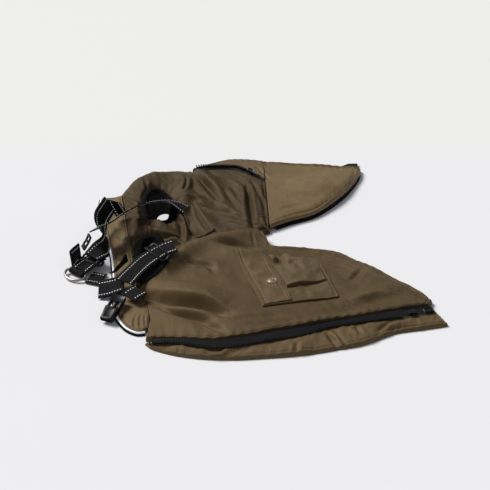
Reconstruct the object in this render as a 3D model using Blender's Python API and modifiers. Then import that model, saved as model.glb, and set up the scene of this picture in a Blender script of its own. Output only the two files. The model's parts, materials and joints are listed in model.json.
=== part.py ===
"""Dog winter jacket with a built-in webbing harness, opened flat on a table, outside up.

Units: tables and sizes below are in millimetres and are turned into metres when a mesh is made.
Frame: +Z up, the table is z = 0, +X runs towards the tail hem and +Y towards the far flank.
"""

import math
from collections import namedtuple

import bmesh
import bpy
import numpy as np
from mathutils import Vector
from mathutils.bvhtree import BVHTree

MM = 0.001

# ---- driving dimensions (mm) ----
LAYOUT_CENTRE = (4.52, -5.64)    # the middle of the laid-out garment, which is the part's origin
WALL = 12.0                     # shell, wadding, lining and the air between them
HEM_SHARE = 0.5                 # at the far hem the underside rises to this share of the height
THIN_WALL = 1.6                 # one folded layer of the shell cloth
SEAM_GAP = 0.4                  # between neighbouring pieces at a seam
LAYER_GAP = 0.35                # between a piece and the one that it lies on
WEB_WIDTH = 25.0                # harness webbing
WEB_THICK = 1.8
CUFF_BAND = 9.0                 # rib cuff, seen from above
CUFF_THICK = 5.0
CUFF_GAP = 1.0                  # between the cuff and the many-sided opening
PIPING = 2.4                    # reflective piping, across
ZIP_CHAIN = (3.4, 2.6)          # closed teeth: width and height
SNAP_DIAMETER = 12.0
SNAP_HEIGHT = 2.2
PLASTIC = 3.0                   # bar of a plastic slide
D_WIRE = 3.2                    # wire of the D-ring
D_INNER = 27.0                  # inner width of the D-ring along its bar

CUFF_STEPS = 28
CHEST_CELLS = (24, 26)          # cells along and across a panel
NEAR_CELLS = (34, 12)
FAR_CELLS = (16, 10)
COLLAR_CROWN = 1.0
LOWEST_TOP = 2.2                # a panel is never thinner than this
BINDING_THICK = 1.6
BINDING_SHOWS = 1.6             # black binding beyond the piping
LINING_SHOWS = 1.5              # black lining beyond the far hem
LINING_DEPTH = 0.35              # how far it reaches under the panel, in the panel's cells
TAPE_THICK = 1.3
TAPE_DROP = 1.5                 # the zip tape's top below the middle of its teeth
FAR_CHAIN_WIDTH = 2.6
SLIDE_LENGTH = 15.0
KEEPER_WIDTH = 22.0
BRIDGE_GAP = 2.4                # room for the pull tab's bar under the slider's bridge
FOLD_STEPS = 10                 # straight pieces of a fold's curve
CHEST_CROWN = 2.0               # swell in the middle of a panel
NEAR_CROWN = 1.5
NEAR_BULGE = 7.5                # the near back panel's left end bows towards its middle
FAR_CROWN = 2.5

# ---- tables: one row for each point, section or fold ----
Edge = namedtuple("Edge", "x y z")
Fold = namedtuple("Fold", "x0 y0 bend_x bend_y x1 y1 left right height")
Hole = namedtuple("Hole", "x y half_width half_length turn_deg")
Web = namedtuple("Web", "x y z across_x across_y across_z")

# The seam between the chest panel and the near back panel, which is rolled up over the chest.
ROLL_LINE = [
    Edge(-123, -112, 8), Edge(-107, -84, 9), Edge(-96, -65, 9), Edge(-84, -45, 9),
    Edge(-72, -28, 9), Edge(-55, -13, 9), Edge(-38, -1, 9), Edge(-18, 10, 9),
    Edge(2, 18, 8), Edge(18, 22, 7), Edge(32, 28, 5),
]
CHEST_FAR = [
    Edge(-165, 113, 6), Edge(-150, 132, 6), Edge(-134, 150, 6), Edge(-117, 160, 6),
    Edge(-101, 170, 8), Edge(-86, 178, 10), Edge(-72, 182.5, 12), Edge(-46, 184, 12),
    Edge(-18, 183.5, 12), Edge(3, 171, 12), Edge(27.6, 151, 10),
]
COLLAR_EDGE = [
    Edge(-192, 116, 5), Edge(-190, 82, 5), Edge(-181, 45, 5), Edge(-170, 0, 4),
    Edge(-162, -30, 4), Edge(-155, -72, 4), Edge(-150, -115, 4), Edge(-143.5, -154, 4),
    Edge(-132, -178, 4), Edge(-119, -189, 4), Edge(-109.2, -188.5, 4),
]
COLLAR_SEAM = [
    Edge(-165, 113, 6), Edge(-159.8, 85, 8), Edge(-153.2, 50, 8), Edge(-145.4, 8, 8),
    Edge(-138.7, -28, 8), Edge(-131.2, -68, 8), Edge(-123.6, -110, 8), Edge(-116.6, -126, 9),
    Edge(-110.5, -145, 9), Edge(-107.0, -163, 8), Edge(-105.7, -182, 5),
]
NEAR_PANEL_FAR = [
    Edge(-123, -112, 9), Edge(-98, -68.5, 12), Edge(-76, -33.6, 12), Edge(-45, -5.6, 12),
    Edge(-8, 13.2, 11), Edge(16, 20, 9), Edge(26, 6, 8), Edge(33, -13, 8),
    Edge(62, -15, 8), Edge(90, -18, 8), Edge(114, -26, 8), Edge(135, -45, 8),
    Edge(155, -62, 8), Edge(182, -91, 7), Edge(203, -112, 6), Edge(214, -130, 5),
]
NEAR_PANEL_NEAR = [
    Edge(-107.5, -203, 5), Edge(-90, -204, 7), Edge(-64, -206, 8), Edge(-38, -209, 8),
    Edge(-8, -203, 8), Edge(14, -197, 8), Edge(25, -194, 8), Edge(38, -190, 8),
    Edge(66, -182, 8), Edge(92, -174, 8), Edge(116, -167, 8), Edge(136, -161, 8),
    Edge(156, -155, 7.5), Edge(180, -149, 7.5), Edge(198, -144, 7), Edge(210, -141, 6),
]
ZIP_NEAR_TEETH = [
    Edge(-104, -212, 5), Edge(-86, -211, 6), Edge(-64, -215, 7), Edge(-38, -221, 7),
    Edge(-14, -219, 7), Edge(16, -211, 7), Edge(33, -206, 7), Edge(60, -199, 7),
    Edge(93, -184, 7), Edge(127, -175, 7), Edge(160, -166, 6), Edge(186, -161, 6),
    Edge(214, -152, 5),
]
PLACKET_NEAR_EDGE = [
    Edge(-108, -209, 4), Edge(-98, -219, 4), Edge(-74, -229, 4), Edge(-44, -235, 4),
    Edge(-12, -236.5, 4), Edge(18, -234, 4), Edge(44, -231, 4), Edge(72, -226, 4),
    Edge(98, -219, 4), Edge(128, -210, 4), Edge(164, -190, 4), Edge(192, -183, 4),
    Edge(225, -175, 4),
]
FAR_PANEL_HEM = [
    Edge(32, 33, 10), Edge(57, 50, 11), Edge(89, 68, 11), Edge(114, 95, 11),
    Edge(134, 124, 11), Edge(148, 151, 10), Edge(158, 176, 9), Edge(163, 197, 6),
]
FAR_PANEL_TOP = [
    Edge(26, 219, 8), Edge(50, 216, 8), Edge(82, 212, 8), Edge(108, 210, 8),
    Edge(126, 208, 7), Edge(142, 206, 6), Edge(153, 205, 6), Edge(162, 204, 5),
]
ZIP_FAR_LINE = [
    Edge(-74, 188, 11), Edge(-60, 190.5, 13), Edge(-44, 190.5, 14), Edge(-17, 190, 14),
    Edge(-3, 182.5, 13), Edge(10, 171.5, 12), Edge(26.0, 158, 11),
]
PLACKET_FAR_TOP = [
    Edge(-73, 195, 8), Edge(-60, 203, 8), Edge(-44, 213, 8), Edge(-24, 224, 8),
    Edge(-4, 225, 8), Edge(10, 223, 8), Edge(26, 220, 8),
]
ZIP_END_NEAR = [Edge(136, 209, 4), Edge(148, 211, 4), Edge(160, 209, 4)]
ZIP_END_FAR = [Edge(138, 213, 4), Edge(148, 221, 4), Edge(161, 222, 4)]

# Ridges (+) and troughs (-) of the laid cloth. Each curve bends through its middle point. Seen from
# its start, it falls off over "left" on its left-hand side and over "right" on the other.
FOLDS = [
    # around the far leg opening, whose upper half stands up
    Fold(-158, 106, -128, 137, -82, 150, 13, 30, 24),
    Fold(-88, 146, -80, 110, -84, 62, 12, 12, 9),
    Fold(-96, 22, -84, 40, -80, 62, 9, 10, 4),
    # around the near leg opening
    Fold(-150, -30, -124, 12, -88, -6, 12, 20, 10),
    Fold(-152, 48, -120, 26, -92, 20, 12, 9, 4),
    # the sharp fold beside the far zip and the broad swells next to it
    Fold(-80, 180, -60, 148, -36, 102, 6, 4.5, -8),
    Fold(-84, 166, -68, 134, -48, 100, 8, 12, 6),
    Fold(-66, 178, -46, 148, -24, 104, 10, 9, 5.5),
    Fold(-40, 156, -28, 124, -14, 92, 14, 14, -4),
    Fold(-70, 98, -38, 84, 0, 46, 10, 12, 4),
    Fold(-46, 72, -34, 52, -26, 36, 10, 10, -4),
    # beside the belly seam
    Fold(2, 150, 8, 110, 14, 42, 5, 4, 3),
    Fold(-14, 130, 0, 96, 6, 48, 6, 5, -3),
    Fold(20, 144, 21, 100, 25, 42, 4, 4, 2.5),
    # chest, between the leg openings
    Fold(-88, 44, -72, 28, -70, 6, 5, 5, -3),
    Fold(-146, 40, -140, 10, -132, -14, 5, 6, -3),
    # the near back panel: its rolled edge, the deep folds and the swell between them
    Fold(-112, -92, -66, -34, 12, 10, 12, 15, 12),
    Fold(-100, -104, -56, -66, 4, -24, 26, 26, 4),
    Fold(-90, -116, -62, -119, -26, -124, 12, 12, 6),
    Fold(-126, -121, -80, -145, -20, -163, 8, 5, -8),
    Fold(-104, -146, -60, -168, -24, -188, 6, 5, -5),
    Fold(-96, -152, -66, -157, -34, -167, 7, 6, 3.5),
    Fold(-96, -164, -66, -186, -46, -202, 10, 9, 3),
    Fold(-40, -166, 0, -167, 44, -162, 4, 4, -1.6),
    Fold(-50, -14, -14, -22, 24, -22, 5, 7, -4.5),
    Fold(-30, -42, 0, -46, 30, -36, 12, 14, 3.5),
    Fold(60, -160, 110, -150, 170, -118, 7, 7, -2),
    Fold(130, -60, 150, -92, 180, -120, 14, 14, 2.5),
    # hems and plackets
    Fold(52, -21, 100, -26, 146, -60, 4, 4, -1.8),
    Fold(146, -60, 180, -97, 208, -130, 4, 4, -1.8),
    Fold(42, 47, 92, 76, 130, 126, 4, 4, -2),
    Fold(130, 126, 148, 158, 156, 196, 4, 4, -2),
    Fold(50, 206, 92, 202, 140, 199, 5, 5, -2),
    Fold(60, 150, 92, 130, 120, 140, 30, 30, 4),
    Fold(-40, -226, -20, -229, 4, -225, 3.5, 3.5, -2),
    Fold(92, -198, 96, -206, 106, -212, 4, 4, -2),
    Fold(120, -188, 124, -196, 134, -202, 5, 5, 1.5),
]

LEG_HOLES = {
    "far": Hole(-113, 74, 24.5, 42, 10),
    "near": Hole(-114, -36, 21, 37, 4),
}

# Pocket corners and the places on it, in plan: far left, far right, near right, near left.
POCKET = ((-13, -44), (88, -46), (107, -131), (20, -152))
SEAM_TOP = (24, -47)
SEAM_LOW = (53, -142)
FLAP = ((48, -117), (97, -97), (86.5, -48.5), (27, -49))
SNAP_PLACE = (31, -106)
# The flap of the chest panel that the leash strap runs under: near left, near right, far right, far left.
STRAP_FLAP = ((-60, -4), (-38, 16), (-66, 84), (-80, 54))

# ---- harness webbing: points along the middle, with the direction across the strap ----
LEASH_STRAP = [
    Web(-77, 60, 17.5, 0.41, 0.91, 0.0), Web(-88, 64, 22.4, 0.20, 0.94, -0.20),
    Web(-101, 66, 26.4, 0.04, 0.91, -0.40), Web(-112.5, 61, 28.8, 0.0, 0.89, -0.45),
    Web(-125.7, 52.6, 30.5, 0.0, 0.89, -0.45), Web(-137.4, 40.9, 32.4, 0.0, 0.89, -0.45),
    Web(-151.4, 18.3, 35, 0.0, 0.90, -0.43), Web(-164.4, -5.6, 37, 0.0, 0.91, -0.41),
    Web(-176, -18, 36.8, 0.0, 0.92, -0.39), Web(-184, -25.5, 35.6, 0.0, 0.92, -0.39),
]
# The neck loop's first stretch rises to a slanting fold: near left, near right, far right, far left.
NECK_RISE = (Edge(-165.0, 43.5, 14), Edge(-151.5, 57, 14), Edge(-160.5, 52, 32), Edge(-174.5, 47.5, 39))
NECK_LOOP = [
    Web(-173, 52.2, 29.5, 0.54, 0.20, -0.80), Web(-176, 40, 28.5, 0.54, 0.10, -0.82),
    Web(-181, 25, 24.5, 0.56, 0.05, -0.80), Web(-180, 9, 18.6, 0.50, 0.08, -0.86),
    Web(-174.5, -4, 16.8, 0.44, 0.10, -0.89), Web(-170.5, -16, 17.4, 0.30, 0.10, -0.95),
    Web(-169.8, -27, 17.6, 0.32, 0.05, -0.94), Web(-171, -36.5, 18.4, 0.50, -0.10, -0.86),
    Web(-176, -45, 18.2, 0.72, -0.50, -0.40), Web(-184, -53.5, 15.8, 0.80, -0.60, 0.0),
]
RING_STRAP_TOP = [
    Web(-196.2, -68.6, 7.4, 0.80, -0.60, 0.0), Web(-190, -60, 8.8, 0.80, -0.60, 0.0),
    Web(-182.5, -50, 9.6, 0.80, -0.60, 0.0), Web(-176, -42, 9.8, 0.80, -0.60, 0.0),
]
RING_STRAP_FAR = [
    Web(-200, -37.5, 14.0, 0.02, -0.02, 1.0), Web(-203.5, -43.5, 13.3, 0.02, 0.06, 1.0),
    Web(-206, -50.5, 13.2, -0.06, 0.10, 1.0), Web(-208, -56.5, 13.2, -0.06, 0.08, 1.0),
]
RING_STRAP_NEAR = [
    Web(-184.5, -77, 1.7, 0.10, 0.99, 0.0), Web(-176, -80, 1.9, 0.10, 0.99, 0.0),
    Web(-168, -83, 2.2, 0.16, 0.99, 0.0),
]
SHOULDER_BAND = [
    Web(-169, -111, 6.6, -0.20, 0.90, 0.38), Web(-158, -112, 9.6, -0.10, 0.90, 0.42),
    Web(-148, -113, 13.6, -0.05, 0.94, 0.34), Web(-139, -113, 16.4, -0.02, 0.96, 0.27),
]
RISER_STRAP = [
    Web(-156, -88, 15.0, 0.80, 0.45, 0.40), Web(-148, -79, 18.0, 0.60, 0.45, 0.66),
    Web(-140, -67, 23, 0.30, 0.40, 0.87),
]
GIRTH_STRAP = [
    Web(-138, -117, 21.5, 0.53, -0.84, -0.10), Web(-131, -102, 22.5, 0.58, -0.81, -0.09),
    Web(-118, -82, 26, 0.62, -0.78, -0.10), Web(-104, -67, 29, 0.60, -0.79, -0.12),
    Web(-94, -60, 31, 0.52, -0.85, -0.12), Web(-84, -56, 33, 0.48, -0.87, -0.12),
]
# The girth strap's lower layer lies on the cloth: near left, near right, far right, far left.
GIRTH_UNDER = ((-116, -111), (-89, -77), (-101, -63), (-127, -99))
BUCKLE_STRAP = [
    Web(-119, -127, 17.0, 0.50, -0.83, -0.05), Web(-126, -134, 16.5, 0.54, -0.83, -0.05),
    Web(-131.5, -140, 15.0, 0.56, -0.83, -0.05),
]
# The fastened side-release buckle lies from the collar's edge down to the table.
BUCKLE_HEAD = Edge(-141, -138, 15.5)
BUCKLE_TIP = Edge(-154, -171, 5.2)
BUCKLE_SIZE = (17.0, 8.0)       # width and height
# The plastic adjuster that hangs where the leash strap turns down.
ADJUSTER_TOP = Edge(-187.5, -28.5, 31)
ADJUSTER_LOW = Edge(-197, -32.5, 14)
ADJUSTER_SIZE = (11.0, 4.0)
# The D-ring's straight bar, and how far its bow reaches.
D_BAR = (Edge(-210.5, -62.5, 4.6), Edge(-187.5, -79.5, 4.6))
D_REACH = 14.0
D_DROP = 2.4                    # the bow's low point rests nearer the table than the bar

# ---- colours: linear RGB ----
OLIVE = (0.125, 0.088, 0.045, 1.0)
RIB_BLACK = (0.008, 0.008, 0.010, 1.0)
WEB_BLACK = (0.006, 0.006, 0.007, 1.0)
TAPE_BLACK = (0.012, 0.012, 0.016, 1.0)
PLASTIC_BLACK = (0.010, 0.010, 0.012, 1.0)
REFLECTIVE = (0.72, 0.72, 0.76, 1.0)
NICKEL = (0.62, 0.58, 0.56, 1.0)
SNAP_COLOUR = (0.42, 0.31, 0.22, 1.0)


CLOTH = (OLIVE, 0.42)
RIB = (RIB_BLACK, 0.85)
TAPE = (TAPE_BLACK, 0.6)
ZIP_TEETH = (TAPE_BLACK, 0.35)
PLASTIC_LOOK = (PLASTIC_BLACK, 0.3)
WEBBING = (WEB_BLACK, 0.7)
TRIM = (REFLECTIVE, 0.35)
METAL = (NICKEL, 0.25, 1.0)
UP = np.array([0.0, 0.0, 1.0])


# ---- curves and heights ----
def spline(rows, count):
    """Count + 1 points, evenly spaced in row number, on a smooth curve through the rows."""
    points = np.array([tuple(row) for row in rows], float)
    before = 2 * points[:1] - points[1:2]
    after = 2 * points[-1:] - points[-2:-1]
    knots = np.concatenate([before, points, after])
    at = np.linspace(0, len(points) - 1, count + 1)
    i = np.minimum(at.astype(int), len(points) - 2)
    t = (at - i)[:, None]
    a, b, c, d = knots[i], knots[i + 1], knots[i + 2], knots[i + 3]
    return 0.5 * (2 * b + (c - a) * t + (2 * a - 5 * b + 4 * c - d) * t**2 + (3 * b - a - 3 * c + d) * t**3)


def fold_height(x, y):
    """The sum of all folds at each plan point."""
    x, y = np.asarray(x, float), np.asarray(y, float)
    total = np.zeros(x.shape)
    for fold in FOLDS:
        ends = [Edge(fold.x0, fold.y0, 0), Edge(fold.bend_x, fold.bend_y, 0), Edge(fold.x1, fold.y1, 0)]
        line = spline(ends, FOLD_STEPS)[:, :2]
        best = np.full(x.shape, np.inf)
        where = np.zeros(x.shape)
        on_left = np.zeros(x.shape, bool)
        for k in range(FOLD_STEPS):
            start, step = line[k], line[k + 1] - line[k]
            dx, dy = x - start[0], y - start[1]
            t = np.clip((dx * step[0] + dy * step[1]) / (step @ step), 0, 1)
            away = np.hypot(dx - t * step[0], dy - t * step[1])
            nearer = away < best
            best = np.where(nearer, away, best)
            where = np.where(nearer, (k + t) / FOLD_STEPS, where)
            on_left = np.where(nearer, step[0] * dy - step[1] * dx > 0, on_left)
        taper = np.sqrt(np.clip(np.sin(np.pi * (0.04 + 0.92 * where)), 0, 1))
        width = np.where(on_left, fold.left, fold.right)
        total += fold.height * taper * np.exp(-((best / width) ** 2))
    return total


def unit(vectors):
    return vectors / np.linalg.norm(vectors, axis=-1, keepdims=True)


# ---- meshes ----
def material(name, colour, roughness, metallic=0.0):
    made = bpy.data.materials.new(name)
    made.use_nodes = True
    shader = made.node_tree.nodes["Principled BSDF"]
    shader.inputs["Base Color"].default_value = colour
    shader.inputs["Roughness"].default_value = roughness
    shader.inputs["Metallic"].default_value = metallic
    return made


def add_object(name, points_mm, faces, look, smooth=True):
    """One object from points in millimetres of the layout, moved to the part's frame in metres."""
    centre = np.array([LAYOUT_CENTRE[0], LAYOUT_CENTRE[1], 0.0])
    mesh = bpy.data.meshes.new(name)
    mesh.from_pydata(((np.asarray(points_mm) - centre) * MM).tolist(), [], faces)
    tidy = bmesh.new()
    tidy.from_mesh(mesh)
    bmesh.ops.recalc_face_normals(tidy, faces=tidy.faces)
    tidy.to_mesh(mesh)
    tidy.free()
    if smooth:
        mesh.shade_smooth()
    mesh.materials.append(material(name, *look))
    made = bpy.data.objects.new(name, mesh)
    PARTS.objects.link(made)
    return made


def stretch(rows, first, last, count):
    """Evenly spaced rows of the curve through the rows, between two row numbers."""
    steps = 20
    fine = spline(rows, (len(rows) - 1) * steps)
    at = np.round(np.linspace(first, last, count + 1) * steps).astype(int)
    return [Edge(*point) for point in fine[at]]


def sheet(name, top, bottom, look, keep=None):
    """A closed solid between two grids of points; cells where keep is false are left open."""
    rows, columns = top.shape[0] - 1, top.shape[1] - 1
    keep = np.ones((rows, columns), bool) if keep is None else keep
    count = top.shape[0] * top.shape[1]
    index = np.arange(count).reshape(top.shape[:2])
    faces = []
    sides = {}
    for i in range(rows):
        for j in range(columns):
            if not keep[i, j]:
                continue
            ring = [index[i, j], index[i + 1, j], index[i + 1, j + 1], index[i, j + 1]]
            ring = [int(k) for k in ring]
            faces.append(ring)
            faces.append([k + count for k in reversed(ring)])
            for a, b in zip(ring, ring[1:] + ring[:1]):
                if (b, a) in sides:
                    del sides[(b, a)]
                else:
                    sides[(a, b)] = True
    faces += [[b, a, a + count, b + count] for a, b in sides]
    points = np.concatenate([top.reshape(-1, 3), bottom.reshape(-1, 3)])
    used = sorted({k for face in faces for k in face})
    renumber = {k: n for n, k in enumerate(used)}
    faces = [[renumber[k] for k in face] for face in faces]
    return add_object(name, points[used], faces, look)


def loft(name, sections, look, closed=False, smooth=True):
    """A solid through equal rings of points, capped at both ends or closed on itself."""
    count, around = sections.shape[:2]
    faces = []
    for i in range(count if closed else count - 1):
        following = (i + 1) % count
        for j in range(around):
            k = (j + 1) % around
            faces.append([i * around + j, i * around + k, following * around + k, following * around + j])
    if not closed:
        faces.append(list(range(around)))
        faces.append(list(range((count - 1) * around, count * around)))
    return add_object(name, sections.reshape(-1, 3), faces, look, smooth)


# ---- resting one layer on another ----
def surface_of(objects):
    """A search tree over the finished solids, in millimetres of the layout."""
    centre = np.array([LAYOUT_CENTRE[0], LAYOUT_CENTRE[1], 0.0])
    points, faces = [], []
    for item in objects:
        start = len(points)
        points += [Vector(np.array(vertex.co) / MM + centre) for vertex in item.data.vertices]
        faces += [[start + k for k in face.vertices] for face in item.data.polygons]
    return BVHTree.FromPolygons(points, faces)


def top_at(tree, x, y, reach):
    """The highest surface point within reach of each plan point, or 0 where there is only table."""
    heights = np.zeros(x.shape)
    turns = [(0.0, 0.0)] + [(math.cos(a), math.sin(a)) for a in np.linspace(0, 2 * math.pi, 9)[:-1]]
    for at in np.ndindex(x.shape):
        for share in (0.5, 1.0):
            for dx, dy in turns:
                start = Vector((x[at] + share * reach * dx, y[at] + share * reach * dy, 200.0))
                hit = tree.ray_cast(start, Vector((0, 0, -1)))[0]
                if hit is not None:
                    heights[at] = max(heights[at], hit.z)
    return heights


# ---- panels ----
def panel_grid(near, far, along, across, crown=0.0):
    """Top points of a panel between two edges, with a swell in its middle and the folds added."""
    near_line, far_line = spline(near, along), spline(far, along)
    share = np.linspace(0, 1, across + 1)[None, :, None]
    grid = near_line[:, None, :] * (1 - share) + far_line[:, None, :] * share
    swell = np.sin(np.pi * np.linspace(0, 1, along + 1))[:, None] ** 0.5
    swell = swell * np.sin(np.pi * share[:, :, 0]) ** 0.8
    grid[:, :, 2] += crown * swell
    step = SEAM_GAP / 2
    grid[:, 0] += step * unit(grid[:, 1] - grid[:, 0])
    grid[:, -1] += step * unit(grid[:, -2] - grid[:, -1])
    grid[0] += step * unit(grid[1] - grid[0])
    grid[-1] += step * unit(grid[-2] - grid[-1])
    grid[:, :, 2] += fold_height(grid[:, :, 0], grid[:, :, 1])
    return grid


def under(top, wall, floor=0.0):
    """The inner points of a wall that rests on the table where it is low."""
    bottom = top.copy()
    bottom[:, :, 2] = np.maximum(floor, top[:, :, 2] - wall)
    return bottom


def in_hole(hole, x, y):
    """Plan points in the hole's own coordinates, where its edge has radius 1."""
    turn = math.radians(hole.turn_deg)
    dx, dy = x - hole.x, y - hole.y
    across = (dx * math.cos(turn) + dy * math.sin(turn)) / hole.half_width
    length = (-dx * math.sin(turn) + dy * math.cos(turn)) / hole.half_length
    return across, length


def from_hole(hole, across, length):
    turn = math.radians(hole.turn_deg)
    dx, dy = across * hole.half_width, length * hole.half_length
    return (
        hole.x + dx * math.cos(turn) - dy * math.sin(turn),
        hole.y + dx * math.sin(turn) + dy * math.cos(turn),
    )


def open_holes(grid, holes):
    """Leaves out the cells inside each hole and moves the cells' edge onto the hole's outline."""
    keep = np.ones((grid.shape[0] - 1, grid.shape[1] - 1), bool)
    middle = (grid[:-1, :-1] + grid[1:, :-1] + grid[:-1, 1:] + grid[1:, 1:]) / 4
    for hole in holes:
        across, length = in_hole(hole, middle[:, :, 0], middle[:, :, 1])
        inside = np.hypot(across, length) < 1
        keep &= ~inside
        touched = np.zeros(grid.shape[:2], bool)
        kept = np.zeros(grid.shape[:2], bool)
        for di in (0, 1):
            for dj in (0, 1):
                touched[di:di + inside.shape[0], dj:dj + inside.shape[1]] |= inside
                kept[di:di + inside.shape[0], dj:dj + inside.shape[1]] |= ~inside
        rim = touched & kept
        across, length = in_hole(hole, grid[:, :, 0], grid[:, :, 1])
        radius = np.maximum(np.hypot(across, length), 1e-6)
        on_x, on_y = from_hole(hole, across / radius, length / radius)
        grid[:, :, 0] = np.where(rim, on_x, grid[:, :, 0])
        grid[:, :, 1] = np.where(rim, on_y, grid[:, :, 1])
        loose = ~rim & (radius > 1) & (radius < 1.7)
        loose[[0, -1]] = False
        loose[:, [0, -1]] = False
        for _ in range(6):
            around = (
                np.roll(grid, 1, 0) + np.roll(grid, -1, 0) + np.roll(grid, 1, 1) + np.roll(grid, -1, 1)
            ) / 4
            grid[loose, :2] = around[loose, :2]
    return keep


def chest_height(x, y):
    """The chest panel's height at a plan point, for what is sewn to its edges."""
    across = np.linspace(0, 1, 61)
    near_line, far_line = spline(ROLL_LINE, 80), spline(CHEST_FAR, 80)
    plain = near_line[:, None] * (1 - across[None, :, None]) + far_line[:, None] * across[None, :, None]
    nearest = np.argmin((plain[:, :, 0] - x) ** 2 + (plain[:, :, 1] - y) ** 2)
    return plain.reshape(-1, 3)[nearest, 2] + CHEST_CROWN + float(fold_height(x, y))


def build_chest():
    """The belly and chest piece, with both leg openings."""
    top = panel_grid(ROLL_LINE, CHEST_FAR, *CHEST_CELLS, CHEST_CROWN)
    flat = top[:, :, 2] - fold_height(top[:, :, 0], top[:, :, 1])
    keep = open_holes(top, LEG_HOLES.values())
    top[:, :, 2] = np.maximum(flat + fold_height(top[:, :, 0], top[:, :, 1]), LOWEST_TOP)
    return sheet("chest_panel", top, under(top, WALL), CLOTH, keep)


def build_cuff(side):
    """A rib cuff: a band round its leg opening, and its inner face down to the table."""
    hole = LEG_HOLES[side]
    sections = []
    for angle in np.linspace(0, 2 * math.pi, CUFF_STEPS + 1)[:-1]:
        rim = np.array(from_hole(hole, math.cos(angle), math.sin(angle)))
        inward = unit(np.array([hole.x, hole.y]) - rim)
        height = max(chest_height(*rim), CUFF_THICK + 1.0)
        profile = [
            (0.0, height - 0.45 * CUFF_THICK), (0.12, height - 0.10 * CUFF_THICK),
            (0.40, height + 0.12 * CUFF_THICK), (0.75, height + 0.02 * CUFF_THICK),
            (1.0, height - 0.35 * CUFF_THICK), (1.08, 0.4 * height), (1.0, 0.0),
            (0.82, 0.0), (0.88, 0.4 * height), (0.75, height - 0.7 * CUFF_THICK),
            (0.12, height - 0.8 * CUFF_THICK),
        ]
        place = [rim + inward * (CUFF_GAP + share * CUFF_BAND) for share, _ in profile]
        sections.append([[*at, max(z, 0.0)] for at, (_, z) in zip(place, profile)])
    return loft(f"leg_cuff_{side}", np.array(sections), RIB, closed=True)


def build_collar():
    top = panel_grid(COLLAR_EDGE, COLLAR_SEAM, 26, 4, COLLAR_CROWN)
    top[:, :, 2] = np.maximum(top[:, :, 2], LOWEST_TOP)
    return sheet("collar", top, under(top, WALL), CLOTH)


def beside(rows, count, out):
    """Points beside a curve, on its right-hand side, at a distance in millimetres."""
    line = spline(rows, count)
    along = unit(np.gradient(line[:, :2], axis=0))
    line[:, :2] += out * np.stack([along[:, 1], -along[:, 0]], axis=1)
    return line


def shifted(rows, out):
    """The same rows moved to the right of their curve by a distance in millimetres."""
    return [Edge(*point) for point in beside(rows, len(rows) - 1, out)]


def edge_strip(name, rows, count, out, low, high, look):
    """A narrow strip that follows a panel's edge, from out[0] to out[1] beside it."""
    top = np.stack([beside(rows, count, out[0]), beside(rows, count, out[1])], axis=1)
    bottom = top.copy()
    bottom[:, :, 2] = low
    top[:, :, 2] = high
    return sheet(name, top, bottom, look)


def build_collar_edge():
    """Reflective piping along the collar's edge, with the black binding below it."""
    gap = SEAM_GAP / 2
    count = 36
    piping_low = BINDING_THICK + LAYER_GAP
    edge_strip("collar_piping", COLLAR_EDGE, count, (gap, gap + PIPING), piping_low, piping_low + PIPING, TRIM)
    reach = gap + PIPING + BINDING_SHOWS
    edge_strip("collar_binding", COLLAR_EDGE, count, (gap, reach), 0.0, BINDING_THICK, RIB)


def panel(name, near, far, cells, crown, look, bulge=0.0, hem_share=0.0):
    """One flat-lying piece between two edges, folded, with its underside on the table where it is low."""
    top = panel_grid(near, far, *cells, crown)
    share = np.linspace(0, 1, cells[1] + 1)[None, :]
    fade = np.exp(-((np.linspace(0, 1, cells[0] + 1)[:, None] / 0.12) ** 2))
    top[:, :, 0] += bulge * np.sin(np.pi * share) ** 0.8 * fade
    top[:, :, 2] = np.maximum(top[:, :, 2], LOWEST_TOP)
    bottom = under(top, WALL)
    bottom[:, 0, 2] = np.maximum(bottom[:, 0, 2], hem_share * top[:, 0, 2])
    return sheet(name, top, bottom, look)


def build_hem_lining():
    """The black lining that shows below the far hem."""
    count = 22
    edge = spline(FAR_PANEL_HEM, count)
    inner = edge + LINING_DEPTH * (spline(FAR_PANEL_TOP, count) - edge) / FAR_CELLS[1]
    top = np.stack([beside(FAR_PANEL_HEM, count, LINING_SHOWS), inner], axis=1)
    bottom = top.copy()
    bottom[:, :, 2] = 0.0
    height = edge[:, 2] + fold_height(edge[:, 0], edge[:, 1])
    top[:, 0, 2] = 0.42 * height
    top[:, 1, 2] = 0.12 * height
    return sheet("hem_lining_far", top[1:-2], bottom[1:-2], RIB)


def chain(name, rows, count, first, last, step=2, width=ZIP_CHAIN[0]):
    """Closed zip teeth as one bar, over a share of the rows' curve."""
    line = spline(rows, count)
    line = line[int(first * count):int(last * count) + 1:step]
    along = unit(np.gradient(line, axis=0))
    side = unit(np.cross(along, UP))
    half, high = width / 2, ZIP_CHAIN[1]
    outline = [
        (-half, -0.4 * high), (half, -0.4 * high), (half, 0.25 * high),
        (0.5 * half, 0.6 * high), (-0.5 * half, 0.6 * high), (-half, 0.25 * high),
    ]
    return loft(name, np.stack([line + a * side + b * UP for a, b in outline], axis=1), ZIP_TEETH)


# ---- pieces that lie on a panel ----
def patch(name, corners, cells, lower, rise, wall, look, reach=3.0):
    """A four-cornered piece that lies on the solids below it, swelling by rise in its middle."""
    u = np.linspace(0, 1, cells[0] + 1)[:, None, None]
    v = np.linspace(0, 1, cells[1] + 1)[None, :, None]
    a, b, c, d = (np.array(corner, float) for corner in corners)
    plan = (1 - v) * ((1 - u) * a + u * b) + v * ((1 - u) * d + u * c)
    x, y = plan[:, :, 0], plan[:, :, 1]
    rest = top_at(surface_of(lower), x, y, reach) + LAYER_GAP
    swell = (np.sin(np.pi * u) ** 0.6 * np.sin(np.pi * v) ** 0.6)[:, :, 0]
    bottom = np.stack([x, y, rest], axis=2)
    top = np.stack([x, y, rest + wall + rise * swell], axis=2)
    return sheet(name, top, bottom, look)


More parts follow.
